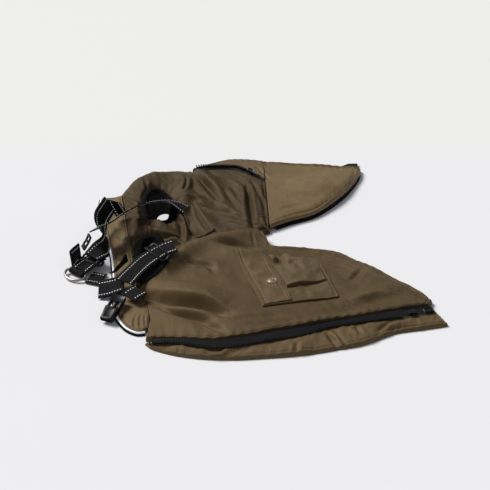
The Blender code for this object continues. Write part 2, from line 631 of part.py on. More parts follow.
def disc(name, place, radius, height, look):
    """A shallow domed disc on a rounded rim."""
    steps = 24
    turn = np.linspace(0, 2 * math.pi, steps + 1)[:-1]
    rings = [
        np.stack([place[0] + share * radius * np.cos(turn), place[1] + share * radius * np.sin(turn),
                  np.full(steps, place[2] + lift * height)], axis=1)
        for share, lift in ((1.0, 0.0), (1.0, 0.35), (0.85, 0.8), (0.5, 1.0))
    ]
    return loft(name, np.array(rings), look)


def build_pocket(near_panel):
    """Patch pocket: its bag, the snapped band on the left and the flap on the right."""
    top_left, top_right, low_right, low_left = POCKET
    bag = patch("pocket_base", (low_left, low_right, top_right, top_left), (8, 8), [near_panel], 0.5,
                THIN_WALL, CLOTH)
    band = patch("pocket_band", (inset(low_left, 1.5, 1.5), SEAM_LOW, SEAM_TOP, inset(top_left, 1.5, -1.5)),
                 (4, 8), [bag], 0.4, THIN_WALL, CLOTH, 2.5)
    flap = patch("pocket_flap", FLAP, (6, 6), [bag], 2.0, THIN_WALL, CLOTH, 2.5)
    x, y = np.array([SNAP_PLACE[0]]), np.array([SNAP_PLACE[1]])
    rest = float(top_at(surface_of([band]), x, y, SNAP_DIAMETER / 2)[0]) + LAYER_GAP
    disc("snap_button", (*SNAP_PLACE, rest), SNAP_DIAMETER / 2, SNAP_HEIGHT, (SNAP_COLOUR, 0.35, 0.6))
    return bag, band, flap


def build_strap_flap(chest, leash):
    patch("strap_flap", STRAP_FLAP, (5, 9), [chest, leash], 0.6, THIN_WALL, CLOTH, 3.5)


def inset(corner, dx, dy):
    return (corner[0] + dx, corner[1] + dy)


# ---- webbing and hardware ----
def web(name, rows, count, width=WEB_WIDTH, thick=WEB_THICK):
    """A strap of even width along its rows."""
    line, along, across, normal = web_frames(rows, count)
    half, deep = width / 2, thick / 2
    corners = [(-half, -deep), (half, -deep), (half, deep), (-half, deep)]
    sections = np.stack([line + a * across + b * normal for a, b in corners], axis=1)
    return loft(name, sections, WEBBING)


def plate(name, corners, thick, look):
    """A flat four-cornered piece of webbing between corners in space."""
    u = np.linspace(0, 1, 5)[:, None, None]
    v = np.linspace(0, 1, 5)[None, :, None]
    a, b, c, d = (np.array(tuple(corner), float) for corner in corners)
    middle = (1 - v) * ((1 - u) * a + u * b) + v * ((1 - u) * d + u * c)
    normal = unit(np.cross(c - a, d - b))
    return sheet(name, middle + thick / 2 * normal, middle - thick / 2 * normal, look)


def web_frames(rows, count):
    """Middle line, lengthwise, crosswise and face directions of a strap."""
    table = spline(rows, count)
    line = table[:, :3]
    along = unit(np.gradient(line, axis=0))
    across = unit(table[:, 3:] - along * (table[:, 3:] * along).sum(axis=1, keepdims=True))
    return line, along, across, np.cross(along, across)


def frame_at(rows, share):
    """Place and directions of a strap at a share of its length, its face turned up."""
    steps = 60
    at = int(round(share * steps))
    line, along, across, normal = (part[at] for part in web_frames(rows, steps))
    return line, (along, across, normal if normal[2] > 0 else -normal)


def box(name, place, directions, size, look):
    """A box of the given size, turned to three directions."""
    half = np.asarray(size, float) / 2
    ring = [(-1, -1), (1, -1), (1, 1), (-1, 1)]
    ends = [
        [np.asarray(place) + a * half[0] * directions[0] + b * half[1] * directions[1]
         + c * half[2] * directions[2] for b, c in ring]
        for a in (-1, 1)
    ]
    return loft(name, np.array(ends), look, smooth=False)


def combine(base, others, operation="UNION"):
    """Joins overlapping bars into one body, or cuts them out of it."""
    for other in others:
        step = base.modifiers.new(operation.lower(), "BOOLEAN")
        step.operation = operation
        step.solver = "EXACT"
        step.object = other
        other.hide_render = True
        other.display_type = "WIRE"
        PARTS.objects.unlink(other)
        CUTTERS.objects.link(other)
    return base


def slide(name, rows, share, length=SLIDE_LENGTH):
    """A slide round a strap: two side rails, two bars above the strap and one below it."""
    place, directions = frame_at(rows, share)
    along, across, normal = directions
    rail = WEB_WIDTH / 2 + 1.4 + PLASTIC / 2
    clear = WEB_THICK / 2 + 0.7
    bar_high = 0.5 * PLASTIC
    height = 2 * (clear + bar_high)
    made = box(name, place - rail * across, directions, (length, PLASTIC, height), PLASTIC_LOOK)
    extras = [box(f"{name}_rail", place + rail * across, directions, (length, PLASTIC, height), PLASTIC_LOOK)]
    lift = clear + bar_high / 2
    for end, side in ((-1, 1), (1, 1), (0, -1)):
        centre = place + end * (length - PLASTIC - 0.4) / 2 * along + side * (lift - 0.1) * normal
        size = (PLASTIC, 2 * rail, bar_high)
        extras.append(box(f"{name}_bar", centre, directions, size, PLASTIC_LOOK))
    return combine(made, extras)


def direction(start, end):
    """Lengthwise, crosswise and upward directions of a line between two points."""
    along = unit(np.array(tuple(end), float) - np.array(tuple(start), float))
    across = unit(np.cross(UP, along))
    return along, across, np.cross(along, across)


def block(name, start, end, size):
    """A plastic block between two points, with softened edges."""
    start, end = np.array(tuple(start), float), np.array(tuple(end), float)
    directions = direction(start, end)
    length = np.linalg.norm(end - start) - LAYER_GAP
    made = box(name, (start + end) / 2, directions, (length, *size), PLASTIC_LOOK)
    soften = made.modifiers.new("soften", "BEVEL")
    soften.width = 1.2 * MM
    soften.segments = 1
    return made


def wire_loop(name, points, radius, look, around=10):
    """A closed ring of round wire through flat points."""
    along = unit(np.roll(points, -1, 0) - np.roll(points, 1, 0))
    normal = unit(np.cross(points[0] - points.mean(0), points[len(points) // 3] - points.mean(0)))
    side = unit(np.cross(along, normal))
    turn = np.linspace(0, 2 * math.pi, around + 1)[:-1]
    sections = (
        points[:, None] + radius * np.cos(turn)[None, :, None] * side[:, None]
        + radius * np.sin(turn)[None, :, None] * normal[None, None]
    )
    return loft(name, sections, look, closed=True)


def build_d_ring():
    """The D-ring: a straight bar inside the strap's keeper, and a bow beyond it."""
    start, end = (np.array(tuple(point), float) for point in D_BAR)
    along = unit(end - start)
    out = unit(np.array([along[1], -along[0], 0.0]) * D_REACH - UP * D_DROP)
    middle, half = (start + end) / 2, D_INNER / 2 + D_WIRE / 2
    points = [middle + s * half * along for s in np.linspace(-0.9, 0.9, 7)]
    points += [
        middle + half * math.cos(turn) * along + (1.8 + (D_REACH - 1.8) * math.sin(turn)) * out
        for turn in np.linspace(0, math.pi, 15)
    ]
    wire_loop("d_ring", np.array(points), D_WIRE / 2, METAL)
    turns = np.radians(np.linspace(35, 325, 15))
    inner, outer = D_WIRE / 2 + 0.5, D_WIRE / 2 + 0.5 + WEB_THICK
    strap_side = -unit(np.array([along[1], -along[0], 0.0]))
    profile = [(outer, turn) for turn in turns] + [(inner, turn) for turn in turns[::-1]]
    ends = [
        [middle + s * KEEPER_WIDTH / 2 * along + r * math.cos(turn) * strap_side + r * math.sin(turn) * UP
         for r, turn in profile]
        for s in (-1, 1)
    ]
    loft("ring_keeper", np.array(ends), WEBBING)


def on_folds(rows):
    """The same rows, raised by the folds that they cross."""
    return [Edge(row.x, row.y, row.z + float(fold_height(row.x, row.y))) for row in rows]


def resting(place, lower, reach, half_height):
    """The place, raised so that a piece of this half height clears the solids below it."""
    x, y = np.array([place[0]]), np.array([place[1]])
    rest = float(top_at(surface_of(lower), x, y, reach)[0])
    return np.array([place[0], place[1], rest + LAYER_GAP + half_height])


def build_near_zip(near_panel, placket):
    """Tape and closed teeth along the near back panel, with slider and retaining box at the hem."""
    raised = on_folds(ZIP_NEAR_TEETH)
    count, half = 32, ZIP_CHAIN[0] / 2
    low_edge, under_teeth = beside(raised, count, half + 0.1), beside(raised, count, -half - 0.3)
    low_edge[:, 2] -= TAPE_DROP
    under_teeth[:, 2] -= TAPE_DROP
    seam = beside(on_folds(NEAR_PANEL_NEAR), count, SEAM_GAP)
    tape = np.stack([low_edge, under_teeth, seam], axis=1)
    made = sheet("zip_tape_near", tape[1:], under(tape[1:], TAPE_THICK, 0.4), TAPE)
    chain("zip_teeth_near", raised, 96, 0.0, 0.885)
    line = spline(raised, 96)
    directions = direction(line[86], line[90])
    lower = [made, near_panel, placket]
    slider_at = resting(line[88], lower, 5.5, 2.1)
    box("zip_slider_near", slider_at, directions, (8.5, 8.0, 4.2), PLASTIC_LOOK)
    box_at = resting(line[93] + 1.5 * directions[0] + 1.6 * directions[1], lower, 6.0, 1.5)
    box("zip_box_near", box_at, directions, (9.0, 9.5, 3.0), PLASTIC_LOOK)


def build_far_zip(placket):
    """The short zip beside the far placket: tape, teeth, slider and a metal pull tab."""
    raised = on_folds(ZIP_FAR_LINE)
    half = FAR_CHAIN_WIDTH / 2
    tape = panel_grid(stretch(CHEST_FAR, 6, 10, 12), shifted(ZIP_FAR_LINE, half), 20, 1)
    made = sheet("zip_tape_far", tape, under(tape, TAPE_THICK, 0.4), TAPE)
    chain("zip_teeth_far", raised, 60, 0.0, 0.74, 2, FAR_CHAIN_WIDTH)
    line = spline(raised, 60)
    directions = direction(line[46], line[51])
    along, across, up = directions
    place = resting(line[48], [made, placket], 4.5, 1.8)
    body = box("zip_slider_far", place, directions, (8.0, 6.5, 3.6), PLASTIC_LOOK)
    bridge_top = place + (1.8 + BRIDGE_GAP + 0.5) * up
    legs = [
        box("bridge_leg", place + side * 2.3 * along + (1.6 + BRIDGE_GAP / 2 + 0.3) * up, directions,
            (1.2, 1.6, BRIDGE_GAP + 1.4), PLASTIC_LOOK)
        for side in (-1, 1)
    ]
    combine(body, legs + [box("bridge_top", bridge_top, directions, (5.8, 1.6, 1.0), PLASTIC_LOOK)])
    hinge = place + (1.8 + BRIDGE_GAP / 2) * up
    tilt = unit(along - 0.08 * up)
    tab_up = np.cross(tilt, across)
    tab_directions = (tilt, across, tab_up)
    bar = box("zip_pull_far", hinge, tab_directions, (1.0, 4.6, 1.0), METAL)
    rails = [
        box("tab_rail", hinge + 3.0 * tilt + side * 1.9 * across, tab_directions, (7.0, 0.9, 0.9), METAL)
        for side in (-1, 1)
    ]
    plate = box("tab_plate", hinge + 10.0 * tilt, tab_directions, (8.4, 5.6, 1.2), METAL)
    combine(bar, rails + [plate])


def build_harness(chest, cloth):
    leash = web("strap_leash", LEASH_STRAP, 30)
    build_strap_flap(chest, leash)
    plate("strap_neck_rise", NECK_RISE, WEB_THICK, WEBBING)
    web("strap_neck_loop", NECK_LOOP, 30)
    web("strap_ring_top", RING_STRAP_TOP, 8)
    web("strap_ring_far", RING_STRAP_FAR, 10)
    web("strap_ring_near", RING_STRAP_NEAR, 6)
    web("strap_shoulder", SHOULDER_BAND, 12)
    web("strap_riser", RISER_STRAP, 8, width=14.0)
    web("strap_girth", GIRTH_STRAP, 20)
    patch("strap_girth_under", GIRTH_UNDER, (7, 4), cloth, 0.0, WEB_THICK, WEBBING, 4.0)
    web("strap_buckle", BUCKLE_STRAP, 8)
    slide("girth_slide", GIRTH_STRAP, 0.62)
    slide("neck_slide", RING_STRAP_TOP, 0.58, 12.0)
    block("strap_adjuster", ADJUSTER_TOP, ADJUSTER_LOW, ADJUSTER_SIZE)
    middle = Edge(*((np.array(BUCKLE_HEAD) + np.array(BUCKLE_TIP)) / 2))
    block("buckle_plug", BUCKLE_HEAD, middle, BUCKLE_SIZE)
    block("buckle_socket", middle, BUCKLE_TIP, BUCKLE_SIZE)
    build_d_ring()


def build():
    chest = build_chest()
    collar = build_collar()
    build_collar_edge()
    near_panel = panel("back_panel_near", NEAR_PANEL_NEAR, NEAR_PANEL_FAR, NEAR_CELLS, NEAR_CROWN, CLOTH,
                       bulge=NEAR_BULGE)
    placket_top = shifted(ZIP_NEAR_TEETH, ZIP_CHAIN[0] / 2 + 0.2)
    placket_near = panel("placket_near", PLACKET_NEAR_EDGE, placket_top, (34, 3), 0.8, CLOTH)
    panel("back_panel_far", FAR_PANEL_HEM, FAR_PANEL_TOP, FAR_CELLS, FAR_CROWN, CLOTH, hem_share=HEM_SHARE)
    placket_low = shifted(ZIP_FAR_LINE, -FAR_CHAIN_WIDTH / 2 - 0.2)
    placket_far = panel("placket_far", placket_low, PLACKET_FAR_TOP, (18, 3), 1.0, CLOTH)
    panel("zip_end_far", ZIP_END_NEAR, ZIP_END_FAR, (6, 2), 0.0, TAPE)
    build_hem_lining()
    build_cuff("far")
    near_cuff = build_cuff("near")
    build_near_zip(near_panel, placket_near)
    build_far_zip(placket_far)
    build_pocket(near_panel)
    build_harness(chest, [chest, near_panel, near_cuff, collar])


for item in list(bpy.data.objects):
    bpy.data.objects.remove(item, do_unlink=True)
PARTS = bpy.data.collections.new("dog_winter_jacket")
CUTTERS = bpy.data.collections.new("cutters")
bpy.context.scene.collection.children.link(PARTS)
bpy.context.scene.collection.children.link(CUTTERS)
build()
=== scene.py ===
# %% [markdown]
# # A dog's winter jacket, opened flat
# The jacket is padded olive nylon with black rib cuffs and a built-in webbing harness. It lies on a pale
# table with its outside up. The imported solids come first: they are the frame that every piece keeps to.

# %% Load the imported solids
import json
import math
from collections import namedtuple

import bmesh
import bpy
import numpy as np
from mathutils import Matrix, Vector
from mathutils.bvhtree import BVHTree


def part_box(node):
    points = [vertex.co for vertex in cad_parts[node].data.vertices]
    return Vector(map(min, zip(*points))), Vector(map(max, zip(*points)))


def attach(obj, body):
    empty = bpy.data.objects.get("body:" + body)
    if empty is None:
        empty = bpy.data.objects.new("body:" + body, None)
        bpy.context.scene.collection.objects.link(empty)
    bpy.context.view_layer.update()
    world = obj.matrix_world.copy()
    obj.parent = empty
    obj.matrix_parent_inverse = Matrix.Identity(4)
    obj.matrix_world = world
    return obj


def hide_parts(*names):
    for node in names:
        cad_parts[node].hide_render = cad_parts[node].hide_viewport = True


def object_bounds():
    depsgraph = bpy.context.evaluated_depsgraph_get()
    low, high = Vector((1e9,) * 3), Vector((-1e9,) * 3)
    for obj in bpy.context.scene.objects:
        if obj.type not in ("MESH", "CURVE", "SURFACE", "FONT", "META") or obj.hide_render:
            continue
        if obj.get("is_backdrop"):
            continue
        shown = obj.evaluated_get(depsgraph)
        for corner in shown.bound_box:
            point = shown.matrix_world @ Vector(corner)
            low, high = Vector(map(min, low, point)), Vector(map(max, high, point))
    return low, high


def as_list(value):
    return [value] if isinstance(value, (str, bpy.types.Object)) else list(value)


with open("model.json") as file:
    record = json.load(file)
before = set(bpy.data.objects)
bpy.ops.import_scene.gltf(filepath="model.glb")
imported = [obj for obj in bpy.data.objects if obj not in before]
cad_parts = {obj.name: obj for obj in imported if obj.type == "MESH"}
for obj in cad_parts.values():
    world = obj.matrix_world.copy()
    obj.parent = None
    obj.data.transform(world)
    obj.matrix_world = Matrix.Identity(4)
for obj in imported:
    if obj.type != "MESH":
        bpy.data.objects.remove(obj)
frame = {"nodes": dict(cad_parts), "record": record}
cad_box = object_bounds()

print("solids", len(frame["nodes"]), "box", [round(1000 * side, 1) for side in cad_box[1] - cad_box[0]])

# %% [markdown]
# ## The table, the light and the camera
# The photograph looks down on the table at about 31 degrees, from more than a metre away, so the lens is long.
# A small product studio has one big soft light above and white walls all round, which is what makes the soft
# sheen on the nylon and hardly any shadow. The table is paler and cooler in front and warmer far behind.

# %% Camera
LAYOUT_CENTRE = (4.52, -5.64)  # the middle of the laid-out jacket in the pattern's own millimetres
MM = 0.001
CAMERA_ELEVATION = math.radians(31)
CAMERA_DISTANCE = 1.3
PIXELS_PER_METRE = 800
PHOTO_SIDE = 490
SENSOR = 36.0
CAMERA_TARGET = Vector((-LAYOUT_CENTRE[0] * MM, -LAYOUT_CENTRE[1] * MM, 0))

for item in list(bpy.context.selected_objects):
    item.select_set(False)
bpy.ops.object.camera_add()
camera = bpy.context.object
camera.name = "photo_camera"
camera.data.sensor_width = SENSOR
camera.data.lens = SENSOR * PIXELS_PER_METRE * CAMERA_DISTANCE / PHOTO_SIDE
camera.location = CAMERA_TARGET + CAMERA_DISTANCE * Vector(
    (0, -math.cos(CAMERA_ELEVATION), math.sin(CAMERA_ELEVATION)))
camera.rotation_euler = (math.pi / 2 - CAMERA_ELEVATION, 0, 0)
camera.data.clip_end = 50
bpy.context.scene.camera = camera
print("lens", round(camera.data.lens, 1), "mm")

# %% Lights
bpy.context.scene.view_settings.view_transform = "Standard"


def wide_sun(name, towards, spread_deg, strength, colour=(1, 1, 1)):
    """Even light from one side of the sky; the wider its spread, the softer its shadows."""
    bpy.ops.object.light_add(type="SUN", location=Vector(towards))
    lamp = bpy.context.object
    lamp.name = name
    lamp.data.angle = math.radians(spread_deg)
    lamp.data.energy = strength
    lamp.data.color = colour
    lamp.rotation_euler = Vector(towards).to_track_quat("Z", "Y").to_euler()
    return lamp


wide_sun("overhead_softbox", (-0.85, 0.50, 1.02), 25, 3.55, (1.0, 0.99, 0.97))
world = bpy.data.worlds.new("white_studio")
bpy.context.scene.world = world
world.use_nodes = True
world.node_tree.nodes["Background"].inputs["Color"].default_value = (0.95, 0.97, 1.0, 1)
world.node_tree.nodes["Background"].inputs["Strength"].default_value = 0.25

# %% [markdown]
# ## Finishes
# Every finish is made of nodes. A small class lets the sums between them be written as Python sums, and one
# method adds any other node. Patterns read the piece's own UV map, which is laid out in metres along and across
# the cloth, so the weave keeps its real size and follows each fold.

# %% Shader sums
class Term:
    """The output of a node, which can be used in Python sums."""

    def __init__(self, finish, socket):
        self.finish, self.socket = finish, socket

    def maths(self, operation, first, second):
        return self.finish.node("ShaderNodeMath", {"operation": operation}, {0: first, 1: second})

    def __add__(self, other): return self.maths("ADD", self, other)
    def __radd__(self, other): return self.maths("ADD", other, self)
    def __sub__(self, other): return self.maths("SUBTRACT", self, other)
    def __rsub__(self, other): return self.maths("SUBTRACT", other, self)
    def __mul__(self, other): return self.maths("MULTIPLY", self, other)
    def __rmul__(self, other): return self.maths("MULTIPLY", other, self)
    def __truediv__(self, other): return self.maths("DIVIDE", self, other)
    def __pow__(self, other): return self.maths("POWER", self, other)


class Finish:
    """A material whose nodes are added one by one."""

    def __init__(self, name, **constants):
        self.material = bpy.data.materials.new(name)
        self.material.use_nodes = True
        self.tree = self.material.node_tree
        self.shader = self.tree.nodes["Principled BSDF"]
        for socket, value in constants.items():
            self.shader.inputs[socket.replace("_", " ")].default_value = value

    def node(self, kind, settings=None, sockets=None, out=0):
        made = self.tree.nodes.new(kind)
        for key, value in (settings or {}).items():
            if key == "stops":
                ramp = made.color_ramp.elements
                while len(ramp) < len(value):
                    ramp.new(0.5)
                for element, (place, colour) in zip(ramp, value):
                    element.position, element.color = place, colour
            else:
                setattr(made, key, value)
        for key, value in (sockets or {}).items():
            self.feed(made.inputs[key], value)
        return Term(self, made.outputs[out])

    def feed(self, socket, value):
        if isinstance(value, Term):
            self.tree.links.new(value.socket, socket)
        else:
            socket.default_value = value

    def set(self, socket, value):
        self.feed(self.shader.inputs[socket], value)

    def uv(self):
        return self.node("ShaderNodeTexCoord", out=2)

    def place(self):
        return self.node("ShaderNodeTexCoord", out=3)

    def noise(self, where, scale, detail=3.0, roughness=0.55, stretch=None):
        if stretch is not None:
            where = self.node("ShaderNodeVectorMath", {"operation": "MULTIPLY"}, {0: where, 1: stretch})
        return self.node("ShaderNodeTexNoise", None,
                         {"Vector": where, "Scale": scale, "Detail": detail, "Roughness": roughness})

    def stripes(self, where, scale, direction="X"):
        """A smooth wave between 0 and 1, with this many radians over one metre."""
        return self.node("ShaderNodeTexWave", {"bands_direction": direction, "wave_profile": "SIN"},
                         {"Vector": where, "Scale": scale})

    def blend(self, factor, first, second):
        return self.node("ShaderNodeMix", {"data_type": "RGBA"}, {0: factor, 6: first, 7: second}, out=2)

    def bump(self, height, distance, strength=1.0):
        self.set("Normal", self.node("ShaderNodeBump", None,
                                     {"Height": height, "Distance": distance, "Strength": strength}))


def wave_scale(pitch):
    """The Wave node's scale that gives one band every so many metres."""
    return 2 * math.pi / 20 / pitch


# %% [markdown]
# ### Olive nylon
# The shell is a tight plain-weave nylon, pressed so that it has a soft sheen. Its threads are only about a third
# of a millimetre apart: they show as a fine grain. Its colour is mottled a little at random and its roughness
# varies too. Most panels have their own lighter or deeper copy of the colour, and two run from lighter to deeper
# along the panel: this is painted light and painted shade, for how brightly each part of the jacket is lit.

# %% Cloth finishes
def rgb(r, g, b):
    return (r, g, b, 1.0)


OLIVE = rgb(0.108, 0.072, 0.034)
OLIVE_DEEP = rgb(0.084, 0.055, 0.025)
OLIVE_WARM = rgb(0.128, 0.087, 0.044)
WEAVE_PITCH = 0.00045


def woven_nylon(name, light, deep, painted_light_span=None):
    """Plain-weave nylon with a soft sheen and faint creases, mottled between a light and a deep colour. If a span along
    x is given, the colour also runs from light to deep across it: painted light and painted shade.
    """
    cloth = Finish(name, Specular_IOR_Level=0.26)
    cloth.shader.inputs["Specular Tint"].default_value = rgb(1.0, 0.80, 0.54)
    uv = cloth.uv()
    broad = cloth.noise(uv, 14, 3)
    grain = cloth.noise(uv, 900, 2, stretch=(1, 0.45, 1))
    warp = cloth.stripes(uv, wave_scale(WEAVE_PITCH), "X")
    weft = cloth.stripes(uv, wave_scale(WEAVE_PITCH), "Y")
    # Painted light and shade: the colour is lighter towards the span's first x and deeper towards its second.
    if painted_light_span:
        leftward = cloth.node("ShaderNodeSeparateXYZ", None, {0: cloth.place()})
        share = cloth.node("ShaderNodeMapRange", None, {"Value": leftward, "From Min": painted_light_span[0], "From Max": painted_light_span[1],
                                                       "To Min": 1.0, "To Max": 0.0})
        shade = cloth.node("ShaderNodeClamp", None, {"Value": 0.6 * share + 0.9 * broad - 0.15 + 0.2 * grain})
    else:
        shade = cloth.node("ShaderNodeClamp", None, {"Value": 1.6 * broad - 0.35 + 0.25 * grain})
    cloth.set("Base Color", cloth.blend(shade, deep, light))
    cloth.set("Roughness", 0.36 + 0.14 * broad + 0.05 * grain)
    creases = cloth.noise(uv, 42, 4, 0.6, stretch=(1, 0.6, 1))
    cloth.bump(0.22 * (warp * weft) + 0.12 * grain + 2.6 * creases, 0.0005)
    return cloth.material


def dimmed(colour, share):
    return rgb(*(share * part for part in colour[:3]))


nylon = woven_nylon("olive_nylon", OLIVE, OLIVE_DEEP)
nylon_facing = woven_nylon("olive_nylon_facing", OLIVE_WARM, OLIVE)
# Painted light and shade: each panel's copy of the olive is lighter or deeper for how brightly it is lit.
nylon_near_painted_shading = woven_nylon("olive_nylon_near", dimmed(OLIVE, 1.22), dimmed(OLIVE_DEEP, 0.64), (-0.13, 0.02))
nylon_chest_painted_shade = woven_nylon("olive_nylon_chest", dimmed(OLIVE, 0.68), dimmed(OLIVE_DEEP, 0.50))
nylon_far_painted_light = woven_nylon("olive_nylon_far", dimmed(OLIVE_WARM, 1.40), dimmed(OLIVE_WARM, 0.88), (0.085, 0.015))
nylon_pocket_painted_light = woven_nylon("olive_nylon_pocket", dimmed(OLIVE_WARM, 0.98), dimmed(OLIVE_WARM, 0.70))
nylon_collar_painted_light = woven_nylon("olive_nylon_collar", dimmed(OLIVE_WARM, 1.35), dimmed(OLIVE_WARM, 1.05))


# %% [markdown]
# ### Black rib, webbing, tape and plastic
# Nothing black in the picture is a flat black. Rib knit is matt and has soft ridges, webbing has a slanting
# twill with a slight gloss on each thread, the tape is finer, and moulded plastic is glossy with scuffed edges.

# %% Black finishes
def rib_knit():
    rib = Finish("rib_knit", Specular_IOR_Level=0.10)
    uv = rib.uv()
    ridges = rib.stripes(uv, wave_scale(0.0019), "X")
    loops = rib.stripes(uv, wave_scale(0.0011), "Y")
    fuzz = rib.noise(uv, 1400, 3)
    rib.set("Base Color", rib.blend(0.55 * ridges + 0.3 * fuzz, rgb(0.002, 0.002, 0.0024), rgb(0.010, 0.010, 0.011)))
    rib.set("Roughness", 0.80 + 0.15 * fuzz)
    rib.bump(ridges + 0.35 * loops + 0.2 * fuzz, 0.0003)
    return rib.material


def twill_webbing():
    webbing = Finish("twill_webbing", Specular_IOR_Level=0.14)
    uv = webbing.uv()
    turned = webbing.node("ShaderNodeVectorRotate", {"rotation_type": "Z_AXIS"},
                          {"Vector": uv, "Angle": math.radians(38)})
    twill = webbing.stripes(turned, wave_scale(0.0013), "X")
    cross = webbing.stripes(uv, wave_scale(0.0009), "Y")
    fuzz = webbing.noise(uv, 1800, 2)
    webbing.set("Base Color", webbing.blend(0.7 * twill + 0.3 * fuzz, rgb(0.003, 0.003, 0.0035),
                                            rgb(0.011, 0.011, 0.012)))
    webbing.set("Roughness", 0.6 + 0.25 * fuzz)
    webbing.bump(twill + 0.4 * cross + 0.15 * fuzz, 0.00035)
    return webbing.material


def zip_tape_cloth():
    tape = Finish("zip_tape_cloth", Specular_IOR_Level=0.15)
    uv = tape.uv()
    ribs = tape.stripes(uv, wave_scale(0.0012), "X")
    fuzz = tape.noise(uv, 1500, 2)
    tape.set("Base Color", tape.blend(0.6 * ribs + 0.4 * fuzz, rgb(0.004, 0.004, 0.005), rgb(0.014, 0.014, 0.017)))
    tape.set("Roughness", 0.55 + 0.2 * fuzz)
    tape.bump(ribs + 0.3 * fuzz, 0.0002)
    return tape.material


def moulded_plastic(name, dark, pale, roughness):
    plastic = Finish(name, Specular_IOR_Level=0.16, IOR=1.5)
    where = plastic.place()
    scuffs = plastic.noise(where, 420, 4, 0.65)
    cloudy = plastic.noise(where, 60, 2)
    edge = plastic.node("ShaderNodeNewGeometry", out=7)
    worn = plastic.node("ShaderNodeClamp", None, {"Value": 6.0 * (edge - 0.53)})
    plastic.set("Base Color", plastic.blend(0.5 * worn + 0.25 * scuffs, dark, pale))
    plastic.set("Roughness", roughness + 0.08 + 0.22 * scuffs * cloudy + 0.1 * worn)
    plastic.bump(scuffs, 0.00006)
    return plastic.material


rib = rib_knit()
webbing = twill_webbing()
tape_cloth = zip_tape_cloth()
gloss_plastic = moulded_plastic("gloss_plastic", rgb(0.004, 0.004, 0.005), rgb(0.030, 0.030, 0.034), 0.16)
teeth_plastic = moulded_plastic("teeth_plastic", rgb(0.003, 0.003, 0.004), rgb(0.014, 0.014, 0.016), 0.12)


# %% [markdown]
# ### Reflective thread and piping, nickel and the painted snap
# The stitch lines on the harness and the piping are coated with tiny glass beads, so they look pale grey-white.
# A faint glow is painted on them as well, standing in for the beads' bright reflection.
# The ring and the zip pull are nickel plated: a warm grey metal with fine scratches.

# %% Bright finishes
def reflective_trim(name, colour, roughness):
    # A weak emission: painted glow that stands in for the reflection of the glass beads.
    trim = Finish(name, Specular_IOR_Level=0.4, Emission_Color=rgb(0.8, 0.82, 0.9), Emission_Strength=0.22)
    beads = trim.noise(trim.place(), 2600, 2)
    trim.set("Base Color", trim.blend(beads, rgb(*(0.86 * part for part in colour)), rgb(*colour)))
    trim.set("Roughness", roughness + 0.2 * beads)
    trim.bump(beads, 0.00008)
    return trim.material


def plated_metal(name, bright, dull, roughness, metallic):
    metal = Finish(name)
    where = metal.place()
    scratches = metal.noise(where, 300, 4, 0.6, stretch=(1, 5, 1))
    stains = metal.noise(where, 90, 3)
    metal.set("Metallic", metallic)
    metal.set("Base Color", metal.blend(stains, dull, bright))
    metal.set("Roughness", roughness + 0.14 * scratches)
    metal.bump(scratches, 0.00004)
    return metal.material


white_trim = reflective_trim("white_trim", (0.80, 0.81, 0.86), 0.35)
thread_trim = reflective_trim("reflective_thread", (0.86, 0.86, 0.88), 0.4)
nickel = plated_metal("nickel_plate", rgb(0.46, 0.41, 0.40), rgb(0.30, 0.265, 0.255), 0.20, 1.0)
snap_paint = plated_metal("snap_paint", rgb(0.33, 0.235, 0.165), rgb(0.26, 0.18, 0.125), 0.32, 0.45)
thread = woven_nylon("olive_thread", rgb(0.088, 0.060, 0.030), rgb(0.062, 0.042, 0.021))
print("finishes", len(bpy.data.materials))


# %% [markdown]
# ### The table
# A matt white board. It is a plain sheet, a little cooler in front and warmer at the back, as in the photograph.

# %% Floor
FLOOR_REACH = 6.0
bpy.ops.mesh.primitive_plane_add(size=2 * FLOOR_REACH, location=(0, 0, -0.0004))
floor = bpy.context.object
floor.name = "studio_table"
board = Finish("table_board", Roughness=0.85, Specular_IOR_Level=0.2)
reach = board.node("ShaderNodeSeparateXYZ", None, {0: board.place()}, out=1)
far_share = board.node("ShaderNodeMapRange", None, {"Value": reach, "From Min": 0.22, "From Max": 0.36})
grain = board.noise(board.place(), 3, 2)
front = board.blend(grain, rgb(0.80, 0.80, 0.83), rgb(0.83, 0.83, 0.86))
board.set("Base Color", board.blend(far_share, front, rgb(0.82, 0.825, 0.80)))
floor.data.materials.append(board.material)
bpy.ops.object.transform_apply(location=True)
floor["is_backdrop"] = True

# %% [markdown]
# ## The pattern
# These tables are the same as in the part's source: points along each seam and hem, in millimetres, seen from
# above, with their height over the table. Each cloth piece is a fine grid between two of its edges.

# %% Edges of the pieces
Edge = namedtuple("Edge", "x y z")
Fold = namedtuple("Fold", "x0 y0 bend_x bend_y x1 y1 left right height")
Hole = namedtuple("Hole", "x y half_width half_length turn_deg")
Web = namedtuple("Web", "x y z across_x across_y across_z")
